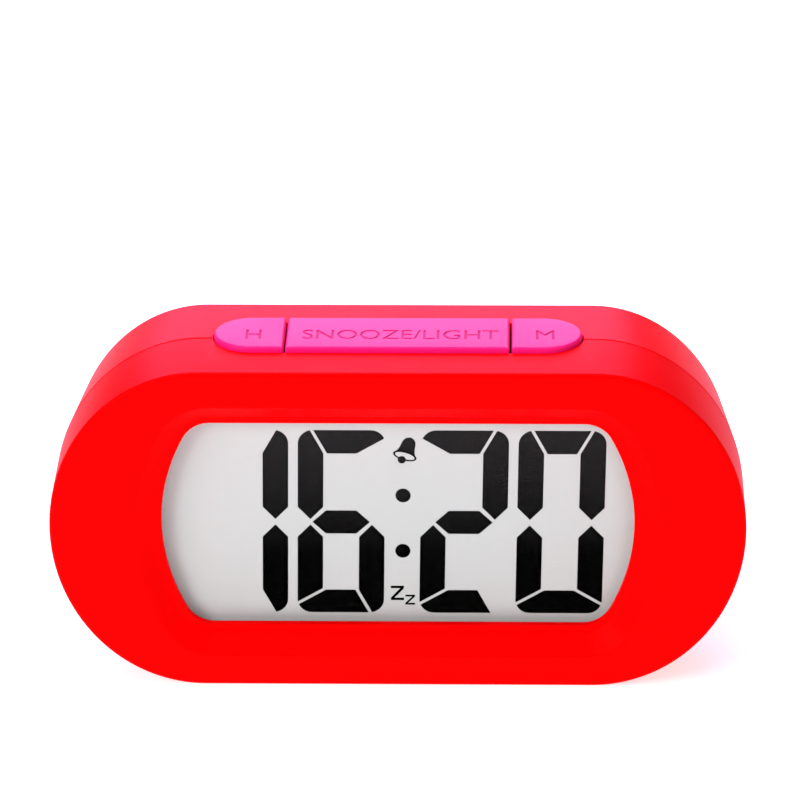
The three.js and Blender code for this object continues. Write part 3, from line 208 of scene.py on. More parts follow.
# The uncoated plastics, films and inks, each with the fine grain of its mould or roller.
WHITE_ABS = surface("moulded_white_abs", "#ECECE8", "#F2F2EF", 0.42, 0.4, 0.006)
WHITE_INK = surface("white_ink", "#F0E8EA", "#F8F0F2", 0.6, 0.3, 0.004)
WHITE_FILM = surface("white_polyester_film", "#F4F4F4", "#FAFAFA", 0.35, 0.3, 0.003)
BLACK_PLASTIC = surface("black_moulded_plastic", "#151517", "#1C1C1F", 0.45, 0.3, 0.01)
ELASTOMER = surface("grey_elastomer", "#6A6D71", "#74777B", 0.7, 0.25, 0.01, stretch=(6, 1, 1))
CERAMIC = surface("silvered_ceramic", "#DEDBD2", "#E8E6DE", 0.4, 0.2, 0.006)
CELL_SLEEVE = surface("metallised_cell_sleeve", "#2F7396", "#3B83A8", 0.3, 0.6, 0.004,
                      Metallic=0.6)
LEAD_RED = surface("red_pvc", "#B81414", "#C41A1A", 0.45, 0.3, 0.006)
LEAD_BLACK = surface("black_pvc", "#101010", "#181818", 0.45, 0.3, 0.006)
FLAT_CABLE = surface("grey_flat_cable", "#8F9298", "#9DA0A6", 0.45, 0.5, 0.03, stretch=(4, 0.2, 0.2))
# Metals keep the default IOR: their colour is their reflection.
ZINC_STEEL = surface("zinc_plated_steel", "#B4B8BE", "#C2C4C8", 0.32, 0.2, 0.008, Metallic=1.0)
NICKEL = surface("nickel_plated_steel", "#BDB9AE", "#C9C5BA", 0.25, 0.25, 0.006,
                 stretch=(1, 1, 8), Metallic=1.0)
BRASS = surface("rolled_brass", "#B8944A", "#C7A357", 0.3, 0.2, 0.006, stretch=(1, 1, 6),
                Metallic=1.0)


# %% The display's grey ground and its dark figures
def painted_light_gradient(name, low_colour, high_colour, z_range, streak_share, roughness):
    """The tone runs from low to high over z_range as painted light: darker towards the bottom and
    paler towards the top, standing in for the light from above. Fine upright streaks, 0.7 mm apart,
    come from the rolling of its film."""
    made, tree, place = start_material(name)
    rolled = add_node(tree, "ShaderNodeMapping", {"Vector": place, "Scale": (1, 1, 0.02)})
    streak = add_node(tree, "ShaderNodeTexNoise", {"Vector": rolled.outputs[0],
                                                   "Scale": 1 / (0.7 * MM), "Detail": 5.0})
    height = add_node(tree, "ShaderNodeSeparateXYZ", {"Vector": place})
    climb = add_node(tree, "ShaderNodeMapRange", {"Value": height.outputs["Z"],
                                                  "From Min": z_range[0] * MM,
                                                  "From Max": z_range[1] * MM})
    wander = add_node(tree, "ShaderNodeMapRange", {"Value": streak.outputs["Fac"],
                                                   "To Min": -streak_share, "To Max": streak_share})
    both = add_node(tree, "ShaderNodeMath", {0: climb.outputs[0], 1: wander.outputs[0]},
                    operation="ADD")
    mix = add_node(tree, "ShaderNodeMix", {"Factor": both.outputs[0]}, data_type="RGBA")
    mix.inputs[6].default_value, mix.inputs[7].default_value = linear(low_colour), linear(high_colour)
    shader = add_node(tree, "ShaderNodeBsdfPrincipled", {
        "Base Color": mix.outputs[2], "Roughness": roughness, "Specular IOR Level": 0.0})
    finish_material(tree, shader)
    return made


# The crystal's clear state over its reflector, with painted shade: its grey is darker towards the
# bottom and paler towards the top.
LCD_GROUND = painted_light_gradient("lcd_grey_ground", "#C0C7C6", "#CCD2D1", (14, 64), 0.12, 0.5)
# Its dark state, painted paler towards the top: a painted reflection of the light above.
LCD_BLACK = painted_light_gradient("liquid_crystal_black", "#010101", "#262627", (30, 64), 0.03, 0.4)


# %% Clear acrylic
def clear_acrylic():
    """Polished acrylic, thin enough to be drawn as a mostly see-through skin with a faint haze."""
    made, tree, place = start_material("clear_acrylic")
    haze = add_node(tree, "ShaderNodeTexNoise", {"Vector": place, "Scale": 1 / (12 * MM)})
    rough = add_node(tree, "ShaderNodeMapRange", {"Value": haze.outputs["Fac"], "To Min": 0.06,
                                                  "To Max": 0.12})
    shader = add_node(tree, "ShaderNodeBsdfPrincipled", {
        "Base Color": linear("#0A0A0A"), "Roughness": rough.outputs[0], "Alpha": 0.02, "IOR": 1.49})
    finish_material(tree, shader)
    return made


CLEAR_ACRYLIC = clear_acrylic()


# %% Circuit board
def circuit_board():
    """Green solder mask over copper: the tracks show through as a paler green, 1.2 mm apart."""
    made, tree, place = start_material("solder_mask_green")
    tracks = add_node(tree, "ShaderNodeTexBrick", {"Vector": place, "Scale": 1 / (5 * MM),
                                                   "Mortar Size": 0.05, "Bias": -0.3})
    tracks.inputs["Color1"].default_value = linear("#145A30")
    tracks.inputs["Color2"].default_value = linear("#176338")
    tracks.inputs["Mortar"].default_value = linear("#2C8A4F")
    bump = add_node(tree, "ShaderNodeBump", {"Height": tracks.outputs["Fac"], "Strength": 0.4,
                                             "Distance": 0.03 * MM})
    shader = add_node(tree, "ShaderNodeBsdfPrincipled", {
        "Base Color": tracks.outputs["Color"], "Roughness": 0.35, "Normal": bump.outputs[0]})
    finish_material(tree, shader)
    return made


FINISH = {
    "red_soft_touch": SOFT_TOUCH_RED, "pink_key": SOFT_TOUCH_PINK, "clear_acrylic": CLEAR_ACRYLIC,
    "display_glass": LCD_GROUND, "white_abs": WHITE_ABS, "white_film": WHITE_FILM,
    "circuit_board": circuit_board(), "black_plastic": BLACK_PLASTIC, "steel": ZINC_STEEL,
    "nickel": NICKEL, "brass": BRASS, "ceramic": CERAMIC, "rubber_grey": ELASTOMER,
    "cell_sleeve": CELL_SLEEVE, "lead_red": LEAD_RED, "lead_black": LEAD_BLACK,
    "ribbon_grey": FLAT_CABLE,
}
for node in NODES:
    mesh = frame["nodes"][node].data
    mesh.materials.clear()
    mesh.materials.append(FINISH[SLOT_OF[node]])
print(len(NODES), "CAD nodes have a finish")

# %% [markdown]
# ## Surfaces from rings
# Most of the clock is a skin over a row of rings with as many points each: the ring's place along
# the depth is one parameter, and the way round it is the other.


# %% Rings to a mesh
def new_piece(name, points, faces, finish, body, *stands_for):
    """A mesh object from points in millimetres, turned outwards by the sign of its volume."""
    made = bpy.data.meshes.new(name)
    made.from_pydata((np.asarray(points) * MM).tolist(), [], faces)
    made.validate()
    piece = bpy.data.objects.new(name, made)
    bpy.context.collection.objects.link(piece)
    if signed_volume(made) < 0:
        made.flip_normals()
    made.materials.append(finish)
    smooth(made)
    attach(piece, body)
    if stands_for:
        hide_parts(*stands_for)
    return piece


def signed_volume(made):
    """A sixth of the sum of a . (b x c) over the surface's triangles."""
    made.calc_loop_triangles()
    corner = np.empty(len(made.loop_triangles) * 3, dtype=np.int32)
    made.loop_triangles.foreach_get("vertices", corner)
    place = np.empty(len(made.vertices) * 3)
    made.vertices.foreach_get("co", place)
    a, b, c = place.reshape(-1, 3)[corner.reshape(-1, 3)].transpose(1, 0, 2)
    return np.einsum("ij,ij->", a, np.cross(b, c)) / 6


def smooth(made, degrees=32):
    """Shades smooth, and keeps the edges that turn by more than some degrees sharp."""
    made.polygons.foreach_set("use_smooth", np.ones(len(made.polygons), dtype=bool))
    made.set_sharp_from_angle(angle=math.radians(degrees))
    made.update()


def skin_faces(rows, count, closes, first=0):
    """Quads between neighbouring rings; unless the skin closes on itself, the end rings are faces."""
    r = np.arange(rows if closes else rows - 1)[:, None]
    i = np.arange(count)[None, :]
    j, after = (i + 1) % count, (r + 1) % rows
    quads = np.stack([r * count + i, r * count + j, after * count + j, after * count + i], axis=-1)
    faces = (quads.reshape(-1, 4) + first).tolist()
    if not closes:
        faces.append((np.arange(count)[::-1] + first).tolist())
        faces.append((np.arange(count) + (rows - 1) * count + first).tolist())
    return faces


def skin(name, rings, closes, finish, body, *stands_for):
    """A piece whose surface runs from ring to ring."""
    rings = np.array(rings)
    faces = skin_faces(len(rings), rings.shape[1], closes)
    return new_piece(name, rings.reshape(-1, 3), faces, finish, body, *stands_for)


def solid_steps(boxes):
    """Points and faces of a stack of boxes, each given by its lowest and highest corners."""
    points, faces = [], []
    for low, high in boxes:
        corners = [(x, z) for x, z in ((low[0], low[2]), (high[0], low[2]), (high[0], high[2]),
                                       (low[0], high[2]))]
        faces += skin_faces(2, 4, False, len(points))
        points += [(x, y, z) for y in (low[1], high[1]) for x, z in corners]
    return points, faces


def quarter(radius, steps=8):
    """From the side to the face of a rounded edge: r(1 - cos t) drawn in, r sin t moved on."""
    t = np.linspace(0, math.pi / 2, steps + 1)
    return list(zip(radius * (1 - np.cos(t)), radius * np.sin(t)))


# %% The clock's own outlines
END_REACH = 35  # a rounded end reaches this far past the straight top
FLAT_HALF = HALF_WIDTH - END_REACH
FACING = np.linspace(math.pi / 2, -math.pi / 2, 73)  # the way an end's points face, top to base


def both_ends(x, z):
    """The right end's points, then the left end's, mirrored and walked back up."""
    return np.concatenate([np.stack([x, z], 1), np.stack([-x[::-1], z[::-1]], 1)])


def at_depth(outline, y):
    """An outline in x and z, set at the depth y."""
    return np.insert(outline, 1, y, axis=1)


def case_ring(y, inset, base_inset=None, end_inset=None):
    """Half ellipses on a straight top and base. A point facing t is a^2 cos t / s, b^2 sin t / s
    from the end's centre, with s the length of (a cos t, b sin t)."""
    base_inset = inset if base_inset is None else base_inset
    end_inset = inset if end_inset is None else end_inset
    reach, half = END_REACH - end_inset, (HEIGHT - inset - base_inset) / 2
    cos, sin = np.cos(FACING), np.sin(FACING)
    scale = np.hypot(reach * cos, half * sin)
    x = FLAT_HALF + reach ** 2 * cos / scale
    return at_depth(both_ends(x, base_inset + half + half ** 2 * sin / scale), y)


LENS_FLANGE = 2
WINDOW_HALF = (lens_high[0] - LENS_FLANGE, (lens_high[2] - lens_low[2]) / 2 - LENS_FLANGE)
WINDOW_BULGE, WINDOW_CORNER = 46, 7  # the radii of its sides and of its corners


def window_ring(y, offset):
    """Two bulging sides joined by four round corners to a straight top and bottom."""
    bulge_x = WINDOW_HALF[0] - WINDOW_BULGE
    corner_z = WINDOW_HALF[1] - WINDOW_CORNER
    corner_x = bulge_x + math.sqrt((WINDOW_BULGE - WINDOW_CORNER) ** 2 - corner_z ** 2)
    change = math.atan2(corner_z, corner_x - bulge_x)
    on_side = np.abs(FACING) < change
    radius = np.where(on_side, WINDOW_BULGE, WINDOW_CORNER) + offset
    x = np.where(on_side, bulge_x, corner_x) + radius * np.cos(FACING)
    z = np.where(on_side, 0, np.sign(FACING) * corner_z) + radius * np.sin(FACING)
    return at_depth(both_ends(x, DISPLAY_Z + z), y)


def stadium(low, high, round_low, round_high, inset=0.0, steps=10):
    """A rectangle from low to high, with one corner radius at its low end and one at its high."""
    (x0, v0), (x1, v1) = np.add(low, inset), np.subtract(high, inset)
    radii = [max(r - inset, 0.05) for r in (round_high, round_low, round_low, round_high)]
    turn = np.linspace(0, math.pi / 2, steps + 1)
    corners = []
    for k, (x, v, sx, sv) in enumerate([(x1, v1, -1, -1), (x0, v1, 1, -1), (x0, v0, 1, 1),
                                        (x1, v0, -1, 1)]):
        t, r = turn + k * math.pi / 2, radii[k]
        corners.append(np.stack([x + sx * r + r * np.cos(t), v + sv * r + r * np.sin(t)], 1))
    return np.concatenate(corners)


def cut(piece, *cutters):
    """Takes cutters away from a piece, and removes them."""
    for cutter in cutters:
        modifier = piece.modifiers.new("cut", "BOOLEAN")
        modifier.operation, modifier.object, modifier.solver = "DIFFERENCE", cutter, "EXACT"
        bpy.context.view_layer.update()
        evaluated = piece.evaluated_get(bpy.context.evaluated_depsgraph_get())
        result = bpy.data.meshes.new_from_object(evaluated)
        piece.modifiers.clear()
        old, piece.data = piece.data, result
        bpy.data.meshes.remove(old)
        bpy.data.meshes.remove(cutter.data)
    smooth(piece.data)
    return piece


def cutter(rings):
    """A closed tool for cutting, from rings, in no collection of the object's own."""
    rings = np.array(rings)
    made = bpy.data.meshes.new("cutter")
    made.from_pydata((rings.reshape(-1, 3) * MM).tolist(), [],
                     skin_faces(len(rings), rings.shape[1], False))
    if signed_volume(made) < 0:
        made.flip_normals()
    tool = bpy.data.objects.new("cutter", made)
    bpy.context.collection.objects.link(tool)
    return tool


# %% [markdown]
# ## The case
# Two moulded halves meet in a fine groove round the middle. The front half carries a dish that runs
# down to the display window, with a round rim and a round foot, so light rolls into it.

# %% Front half
WALL, WALL_INSIDE = 2.2, 7.2  # the front wall's inner side starts this far out from the window
LIP_SEAT = 4.6  # the flat seat behind the lip
FRONT_DRAFT, REAR_DRAFT, REAR_END_DRAFT = 0.1, 1.0, 2.2
FRONT_EDGE, REAR_EDGE = 1.0, 2.5
JOINT_Y, SEAM, SEAM_CHAMFER = -2.0, 0.05, 0.3
TONGUE_INSET, TONGUE_LENGTH, TONGUE_CLEARANCE = 1.25, 2, 0.2
DISH_REACH, DISH_DEPTH, DISH_SLOPE = 6.2, 4.4, math.radians(45)
RIM_RADIUS, FOOT_RADIUS, LIP_EDGE = 1.0, 2.5, 0.3
LIP_THICKNESS = 1.8


def dish_profile(steps=8):
    """Drawn in and down from the rim: an arc, a straight slope, an arc back to flat, and the lip."""
    t = np.linspace(0, DISH_SLOPE, steps + 1)
    rim = np.stack([RIM_RADIUS * np.sin(t), RIM_RADIUS * (1 - np.cos(t))], 1)
    foot_drop = FOOT_RADIUS * (1 - math.cos(DISH_SLOPE))
    slope = DISH_DEPTH - rim[-1, 1] - foot_drop
    foot_x = rim[-1, 0] + slope / math.tan(DISH_SLOPE) + FOOT_RADIUS * math.sin(DISH_SLOPE)
    foot = np.stack([foot_x - FOOT_RADIUS * np.sin(t[::-1]),
                     DISH_DEPTH - FOOT_RADIUS * (1 - np.cos(t[::-1]))], 1)
    edge = [[DISH_REACH - LIP_EDGE + a, DISH_DEPTH + b] for b, a in quarter(LIP_EDGE, 4)]
    return [*rim, *foot, *edge]


def front_rings():
    """From the joint along the outside, over the edge, down the dish, and back along the inside."""
    side_end = FRONT + FRONT_EDGE
    lip_back = FRONT + DISH_DEPTH + LIP_THICKNESS
    seam, tongue_end = JOINT_Y - SEAM, JOINT_Y + TONGUE_LENGTH
    return [
        case_ring(seam, SEAM_CHAMFER),
        *[case_ring(seam - SEAM_CHAMFER * s, SEAM_CHAMFER * (1 - s)) for s in (0.5, 1)],
        *[case_ring(side_end - b, FRONT_DRAFT + a, a) for a, b in quarter(FRONT_EDGE)],
        *[window_ring(FRONT + down, DISH_REACH - inwards) for inwards, down in dish_profile()],
        window_ring(lip_back, 0), window_ring(lip_back, LIP_SEAT),
        window_ring(FRONT + WALL, WALL_INSIDE),
        case_ring(FRONT + WALL, FRONT_DRAFT + WALL + FRONT_EDGE / 2, WALL + FRONT_EDGE / 2),
        case_ring(side_end + WALL, FRONT_DRAFT + WALL, WALL),
        case_ring(tongue_end, WALL), case_ring(tongue_end, TONGUE_INSET),
        case_ring(seam, TONGUE_INSET),
    ]


front_half = skin("front_half", front_rings(), True, FRONT_RED, "case", "front_shell")
print("front half", len(front_half.data.polygons), "faces")

# %% Back half, before its openings
def drawn_in(y, inset):
    """The back edge's outline: the draft draws it in on top and at the ends, but not at the base."""
    return case_ring(y, REAR_DRAFT + inset, inset, REAR_END_DRAFT + inset)


def rear_rings():
    """From the back face over its edge to the joint, then in over the rebate to the inside."""
    side_end = BACK - REAR_EDGE
    seam, rebate = JOINT_Y + SEAM, TONGUE_INSET - TONGUE_CLEARANCE
    rebate_end = JOINT_Y + TONGUE_LENGTH + 0.3
    return [
        *[drawn_in(side_end + b, a) for a, b in quarter(REAR_EDGE)][::-1],
        *[case_ring(seam + SEAM_CHAMFER * s, SEAM_CHAMFER * (1 - s)) for s in (1, 0.5)],
        case_ring(seam, SEAM_CHAMFER), case_ring(seam, rebate), case_ring(rebate_end, rebate),
        case_ring(rebate_end, WALL), drawn_in(side_end - 1, WALL),
        drawn_in(BACK - WALL, WALL + REAR_EDGE / 2),
    ]


rear_half = skin("rear_half", rear_rings(), False, SOFT_TOUCH_RED, "case", "rear_shell")
print("back half", len(rear_half.data.polygons), "faces before cutting")

# %% [markdown]
# ## The key opening
# Both halves give way to the strip of keys. One tool with a slightly flared mouth cuts the opening,
# which leaves a softened rim, as a mould does.

# %% Cut the key opening
key_low, key_high = box_mm("hour_button")
KEY_TOP, KEY_FLANGE, KEY_CLEARANCE = key_high[2], 1, 0.25
STRIP_HALF = -key_low[0] - KEY_FLANGE
STRIP_Y = (key_low[1] + key_high[1]) / 2
STRIP_DEEP = (key_high[1] - key_low[1]) / 2 - KEY_FLANGE
MOUTH = 0.3  # radius of the opening's rim


def strip_ring(z, offset):
    """The keys' strip at one height, larger by offset all round."""
    half, deep = STRIP_HALF + offset, STRIP_DEEP + offset
    outline = stadium((-half, -deep), (half, deep), deep - 0.01, deep - 0.01, steps=24)
    return np.insert(outline + (0, STRIP_Y), 2, z, axis=1)


for half in (front_half, rear_half):
    mouth = [strip_ring(HEIGHT - MOUTH + b, KEY_CLEARANCE + a) for a, b in quarter(MOUTH, 4)]
    cut(half, cutter([strip_ring(KEY_TOP - 10, KEY_CLEARANCE), *mouth,
                      strip_ring(KEY_TOP + 4, KEY_CLEARANCE + MOUTH)]))
print("opening", 2 * (STRIP_HALF + KEY_CLEARANCE), "by", 2 * (STRIP_DEEP + KEY_CLEARANCE), "mm")

# %% [markdown]
# ## The keys
# Three caps share one rounded strip. Each is a hollow cap with a flange that keeps it under the
# case, soft edges, and a legend sunk into its top. A legend is a text outline given a thickness, and
# fitted to its real width and height.

# %% Lettering
def lettering(words, width, height, thickness):
    """A closed mesh of the words, width by height by thickness millimetres about the origin."""
    curve = bpy.data.curves.new(words, "FONT")
    curve.body, curve.extrude, curve.resolution_u = words, 0.5, 4
    text = bpy.data.objects.new(words, curve)
    bpy.context.collection.objects.link(text)
    bpy.context.view_layer.update()
    made = bpy.data.meshes.new_from_object(text.evaluated_get(
        bpy.context.evaluated_depsgraph_get()))
    bpy.data.objects.remove(text)
    work = bmesh.new()
    work.from_mesh(made)
    bmesh.ops.remove_doubles(work, verts=work.verts, dist=1e-5)
    work.to_mesh(made)
    work.free()
    place = np.empty(len(made.vertices) * 3)
    made.vertices.foreach_get("co", place)
    place = place.reshape(-1, 3)
    low, high = place.min(0), place.max(0)
    fit = np.array([width, height, thickness]) / (high - low)
    return made, (place - (low + high) / 2) * fit


def set_points(made, points):
    """Puts points in millimetres into a mesh."""
    made.vertices.foreach_set("co", (points * MM).ravel())
    made.update()


def sunk_legend(piece, words, width, height, depth, place, finish, body):
    """Sinks the words into a piece and lays a coloured fill on the floor of the cut. place turns
    points of the lettering's plane into the clock's."""
    made, points = lettering(words, width, height, 2 * depth)
    tool = bpy.data.objects.new("cutter", made)
    bpy.context.collection.objects.link(tool)
    set_points(made, place(points))
    cut(piece, tool)
    made, points = lettering(words, width, height, depth * 0.4)
    points[:, 2] -= depth * 0.8
    set_points(made, place(points))
    made.materials.clear()
    made.materials.append(finish)
    fill = bpy.data.objects.new(piece.name + "_legend_" + words[:2].lower(), made)
    bpy.context.collection.objects.link(fill)
    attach(fill, body)
    return fill


# %% The three caps
KEY_EDGE, KEY_WALL, PARTED_CORNER = 0.7, 1.6, 0.4
FLANGE_LOW, FLANGE_HIGH = key_low[2], key_low[2] + 1.2


def key_ring(span, z, reach=0.0, inset=0.0):
    """One cap's outline: round where it is the end of the strip, nearly square where it is parted."""
    (x0, x1), deep = span, STRIP_DEEP + reach
    left_end, right_end = x0 <= -STRIP_HALF, x1 >= STRIP_HALF
    low = (x0 - reach * left_end, STRIP_Y - deep)
    high = (x1 + reach * right_end, STRIP_Y + deep)
    rounds = [deep - 0.01 if end else PARTED_CORNER for end in (left_end, right_end)]
    outline = stadium(low, high, *rounds, inset=inset, steps=24)
    return np.insert(outline, 2, z, axis=1)


def key_cap(name, span, node, body):
    """From the underside of its top down the inside, round the flange, and up over the edge."""
    edge = [key_ring(span, KEY_TOP - KEY_EDGE + b, 0, a) for a, b in quarter(KEY_EDGE)]
    rings = [
        key_ring(span, KEY_TOP - KEY_WALL, 0, KEY_WALL), key_ring(span, FLANGE_LOW, 0, KEY_WALL),
        key_ring(span, FLANGE_LOW, KEY_FLANGE), key_ring(span, FLANGE_HIGH, KEY_FLANGE),
        key_ring(span, FLANGE_HIGH),
        *edge,
    ]
    return skin(name, rings, False, SOFT_TOUCH_PINK, body, node)


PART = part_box("snooze_button")[1][0] / MM
GAP = 0.45
# Name, span, node, body, legend, and the legend's middle and width.
KEYS = [
    ("hour_cap", (-STRIP_HALF, -PART - GAP), "hour_button", "hour_key", "H", -33.0, 3.6),
    ("snooze_cap", (-PART, PART), "snooze_button", "snooze_key", "SNOOZE/LIGHT", 0.6, 44.8),
    ("minute_cap", (PART + GAP, STRIP_HALF), "minute_button", "minute_key", "M", 33.6, 4.3),
]
LEGEND_HEIGHT, LEGEND_DEPTH, LEGEND_Y = 5.2, 0.25, STRIP_Y - 1.2
# Each key's legend fill is the darker pink of painted shade in its sunk letters.
for name, span, node, body, words, middle, width in KEYS:
    cap = key_cap(name, span, node, body)
    sunk_legend(cap, words, width, LEGEND_HEIGHT, LEGEND_DEPTH,
                lambda p, x=middle: p + (x, LEGEND_Y, KEY_TOP), LEGEND_PAINTED_SHADE, body)
    print(name, len(cap.data.polygons), "faces")

# %% [markdown]
# ## The display
# A clear window lies just behind the lip. Behind it is the crystal: a grey reflective ground with
# dark figures. A figure's bars are one rounded rectangle shared out by straight cuts, so the bars
# keep the even gaps of the real artwork.

# %% Window and ground
LENS_CLEARANCE, LENS_EDGE = 0.25, 0.4
flange_front = FRONT + DISH_DEPTH + LIP_THICKNESS + 0.05
window = skin("window", [
    window_ring(lens_high[1], LENS_FLANGE), window_ring(flange_front, LENS_FLANGE),
    window_ring(flange_front, -LENS_CLEARANCE),
    *[window_ring(lens_low[1] + LENS_EDGE - b, -LENS_CLEARANCE - a)
      for a, b in quarter(LENS_EDGE, 4)],
], False, CLEAR_ACRYLIC, "case", "lens_window")
print("window", len(window.data.polygons), "faces")

# %% Figures
FIGURE = (20.0, 46.4)  # width and height
BAR = 5.85
BAR_GAP = 0.4  # across the level, on each side of a cut
LEAN = 0.75  # the tops stand this far right of the bases
FIGURE_ROUND = 3.4
WAIST = FIGURE[1] / 2
POINT = 1.06  # the slope of a bar's pointed end


def clip(points, value):
    """Keeps the part of a convex outline where value, linear in x and z, is not above zero."""
    here = value(*points.T)
    after, there = np.roll(points, -1, 0), np.roll(here, -1)
    crossing = np.sign(here) * np.sign(there) < 0
    share = np.where(crossing, here / np.where(crossing, here - there, 1), 0)[:, None]
    both = np.stack([points, points + share * (after - points)], 1).reshape(-1, 2)
    keep = np.stack([here <= 0, crossing], 1).ravel()
    return both[keep]


def joint_cut(steep, upright):
    """A corner's cut, with p from the side and q from the end: steep gives the corner to the upright
    bar, along p = 3.1 + 0.54 q, and shallow gives it to the level bar, along q = 2.3 + 0.6 p."""
    side = 1 if upright else -1
    if steep:
        return lambda p, q: side * (p - 3.1 - 0.54 * q) + BAR_GAP
    return lambda p, q: side * (2.3 + 0.6 * p - q) + BAR_GAP


def bar_outline(bar, corners):
    """One bar of a figure. Everything is worked out in the top left corner and mirrored."""
    outline = stadium((0, 0), FIGURE, FIGURE_ROUND, FIGURE_ROUND, steps=12)
    right, bottom = bar in "bc", bar in "cde"
    if bar == "g":
        for x_sign in (1, -1):
            for z_sign in (1, -1):
                outline = clip(outline, lambda x, z: 3.4 + POINT * z_sign * (z - WAIST)
                               - (x if x_sign > 0 else FIGURE[0] - x))
        outline = clip(outline, lambda x, z: z - WAIST - BAR / 2)
        return clip(outline, lambda x, z: WAIST - BAR / 2 - z)
    q_of = (lambda z: z) if bottom else (lambda z: FIGURE[1] - z)
    if bar in "ad":
        outline = clip(outline, lambda x, z: q_of(z) - BAR)
        for is_right in (False, True):
            rule = joint_cut(corners[2 * bottom + is_right], False)
            p_of = (lambda x: FIGURE[0] - x) if is_right else (lambda x: x)
            outline = clip(outline, lambda x, z: rule(p_of(x), q_of(z)))
        return outline
    p_of = (lambda x: FIGURE[0] - x) if right else (lambda x: x)
    outline = clip(outline, lambda x, z: p_of(x) - BAR)
    rule = joint_cut(corners[2 * bottom + right], True)
    outline = clip(outline, lambda x, z: rule(p_of(x), q_of(z)))
    for slope in (POINT, -POINT):
        outline = clip(outline, lambda x, z: q_of(z) + 0.7 + slope * (p_of(x) - BAR / 2) - WAIST)
    return outline


# Which bars each figure shows, and which of its corners (top left, top right, bottom left, bottom
# right) the upright bar keeps.
FIGURES = [
    ("bc", (1, 1, 1, 1), -45.65), ("acdefg", (1, 0, 0, 1), -23.45),
    ("abdeg", (0, 1, 0, 1), 4.75), ("abcdef", (1, 1, 0, 0), 26.95),
]
FIGURE_BASE = 14.9
outlines = []
for bars, corners, left in FIGURES:
    for bar in bars:
        x, z = bar_outline(bar, corners).T
        outlines.append(np.stack([left + x + LEAN * z / FIGURE[1], FIGURE_BASE + z], 1))
print(len(outlines), "bars")


# %% Symbols
def disc(x, z, radius, squash_z=1.0, turn=0.0, steps=32):
    """A circle, flattened along its own z and then turned."""
    t = np.linspace(0, 2 * math.pi, steps, endpoint=False)
    u, v = radius * np.cos(t), radius * squash_z * np.sin(t)
    return np.stack([x + u * math.cos(turn) - v * math.sin(turn),
                     z + u * math.sin(turn) + v * math.cos(turn)], 1)


def letter_z(low, high, stroke):
    """The letter Z: two level bars and the slanting one between them."""
    (x0, z0), (x1, z1) = low, high
    slant = stroke * 1.35  # a slanting stroke is wider along the level
    return np.array([(x0, z1), (x1, z1), (x1, z1 - stroke), (x0 + slant, z0 + stroke),
                     (x1, z0 + stroke), (x1, z0), (x0, z0), (x0, z0 + stroke),
                     (x1 - slant, z1 - stroke), (x0, z1 - stroke)])


BELL, BELL_HIGH, BELL_TURN = (1.65, 54.9), 4.8, math.radians(-17)


def bell_outline():
    """Half widths up the bell's height, mirrored about its axis and turned."""
    h = np.array([0, 0.25, 0.6, 1.1, 1.8, 2.6, 3.3, 3.9, 4.35, 4.65, BELL_HIGH])
    w = np.array([2.75, 2.7, 2.35, 2.0, 1.78, 1.66, 1.58, 1.38, 1.02, 0.55, 0.05])
    fine = np.linspace(0, BELL_HIGH, 40)
    wide = np.interp(fine, h, w)
    u, v = np.concatenate([wide, -wide[::-1]]), np.concatenate([fine, fine[::-1]])
    cos, sin = math.cos(BELL_TURN), math.sin(BELL_TURN)
    return np.stack([BELL[0] + u * cos - v * sin, BELL[1] + u * sin + v * cos], 1)


outlines += [bell_outline(), disc(*BELL, 2.78, 0.42, BELL_TURN)]
outlines += [disc(1.2, 44.9, 1.75), disc(1.05, 30.8, 1.75)]
outlines += [letter_z((-1.8, 18.1), (1.25, 21.8), 0.62), letter_z((1.55, 16.95), (3.8, 19.5), 0.45)]
lcd_low, lcd_high = box_mm("lcd_panel")
INK = 0.03  # thickness of one printed layer


def prisms(name, outlines, front, back, finish, node=None):
    """One mesh of flat slabs, each an outline in x and z carried from front to back."""
    points, faces, first = [], [], 0
    for outline in outlines:
        rings = np.array([at_depth(outline, y) for y in (front, back)])
        faces += skin_faces(2, len(outline), False, first)
        points.append(rings.reshape(-1, 3))
        first += 2 * len(outline)
    piece = new_piece(name, np.concatenate(points), faces, finish, "case", *([node] if node else []))
    return piece


ground_edge = stadium(lcd_low[[0, 2]], lcd_high[[0, 2]], 1, 1)
prisms("lcd_ground", [ground_edge], lcd_low[1] + INK * 3, lcd_high[1], LCD_GROUND, "lcd_panel")
figures = prisms("lcd_figures", outlines, lcd_low[1] + INK * 2, lcd_low[1] + INK * 3.5, LCD_BLACK)
mouth = [disc(*BELL, 2.3, 0.33, BELL_TURN)]
prisms("lcd_bell_mouth", mouth, lcd_low[1] + INK, lcd_low[1] + INK * 3, LCD_GROUND)
prisms("lcd_bell_clapper", [disc(0.95, 53.95, 0.93)], lcd_low[1], lcd_low[1] + INK * 3, LCD_BLACK)
print("figures", len(figures.data.polygons), "faces")

# %% [markdown]
# ## The back
# The back half is opened for the battery door, the cells behind it, the two slide switches, the
# sounder and the four case screws. Every opening has a slightly flared mouth, as it leaves the mould.

# %% Shapes for the back
def outline_at(outline, *stations):
    """Rings of one outline function at (depth, growth) stations."""
    return [at_depth(outline(growth), y) for y, growth in stations]


def round_box(x_range, z_range, radius):
    """A function of growth that gives a rounded rectangle, larger by growth all round."""
    (x0, x1), (z0, z1) = x_range, z_range
    return lambda growth: stadium((x0, z0), (x1, z1), radius, radius, inset=-growth, steps=8)


def opening(outline, floor, flare=0.2):
    """A tool for an opening from floor out through the back, flared at its mouth."""
    return cutter(outline_at(outline, (floor, 0), (BACK - flare, 0), (BACK + 0.02, flare),
                             (BACK + 1, flare)))


def block(low, high):
    """A tool in the shape of a box."""
    return cutter(outline_at(round_box((low[0], high[0]), (low[2], high[2]), 0.05),
                             (low[1], 0), (high[1], 0)))


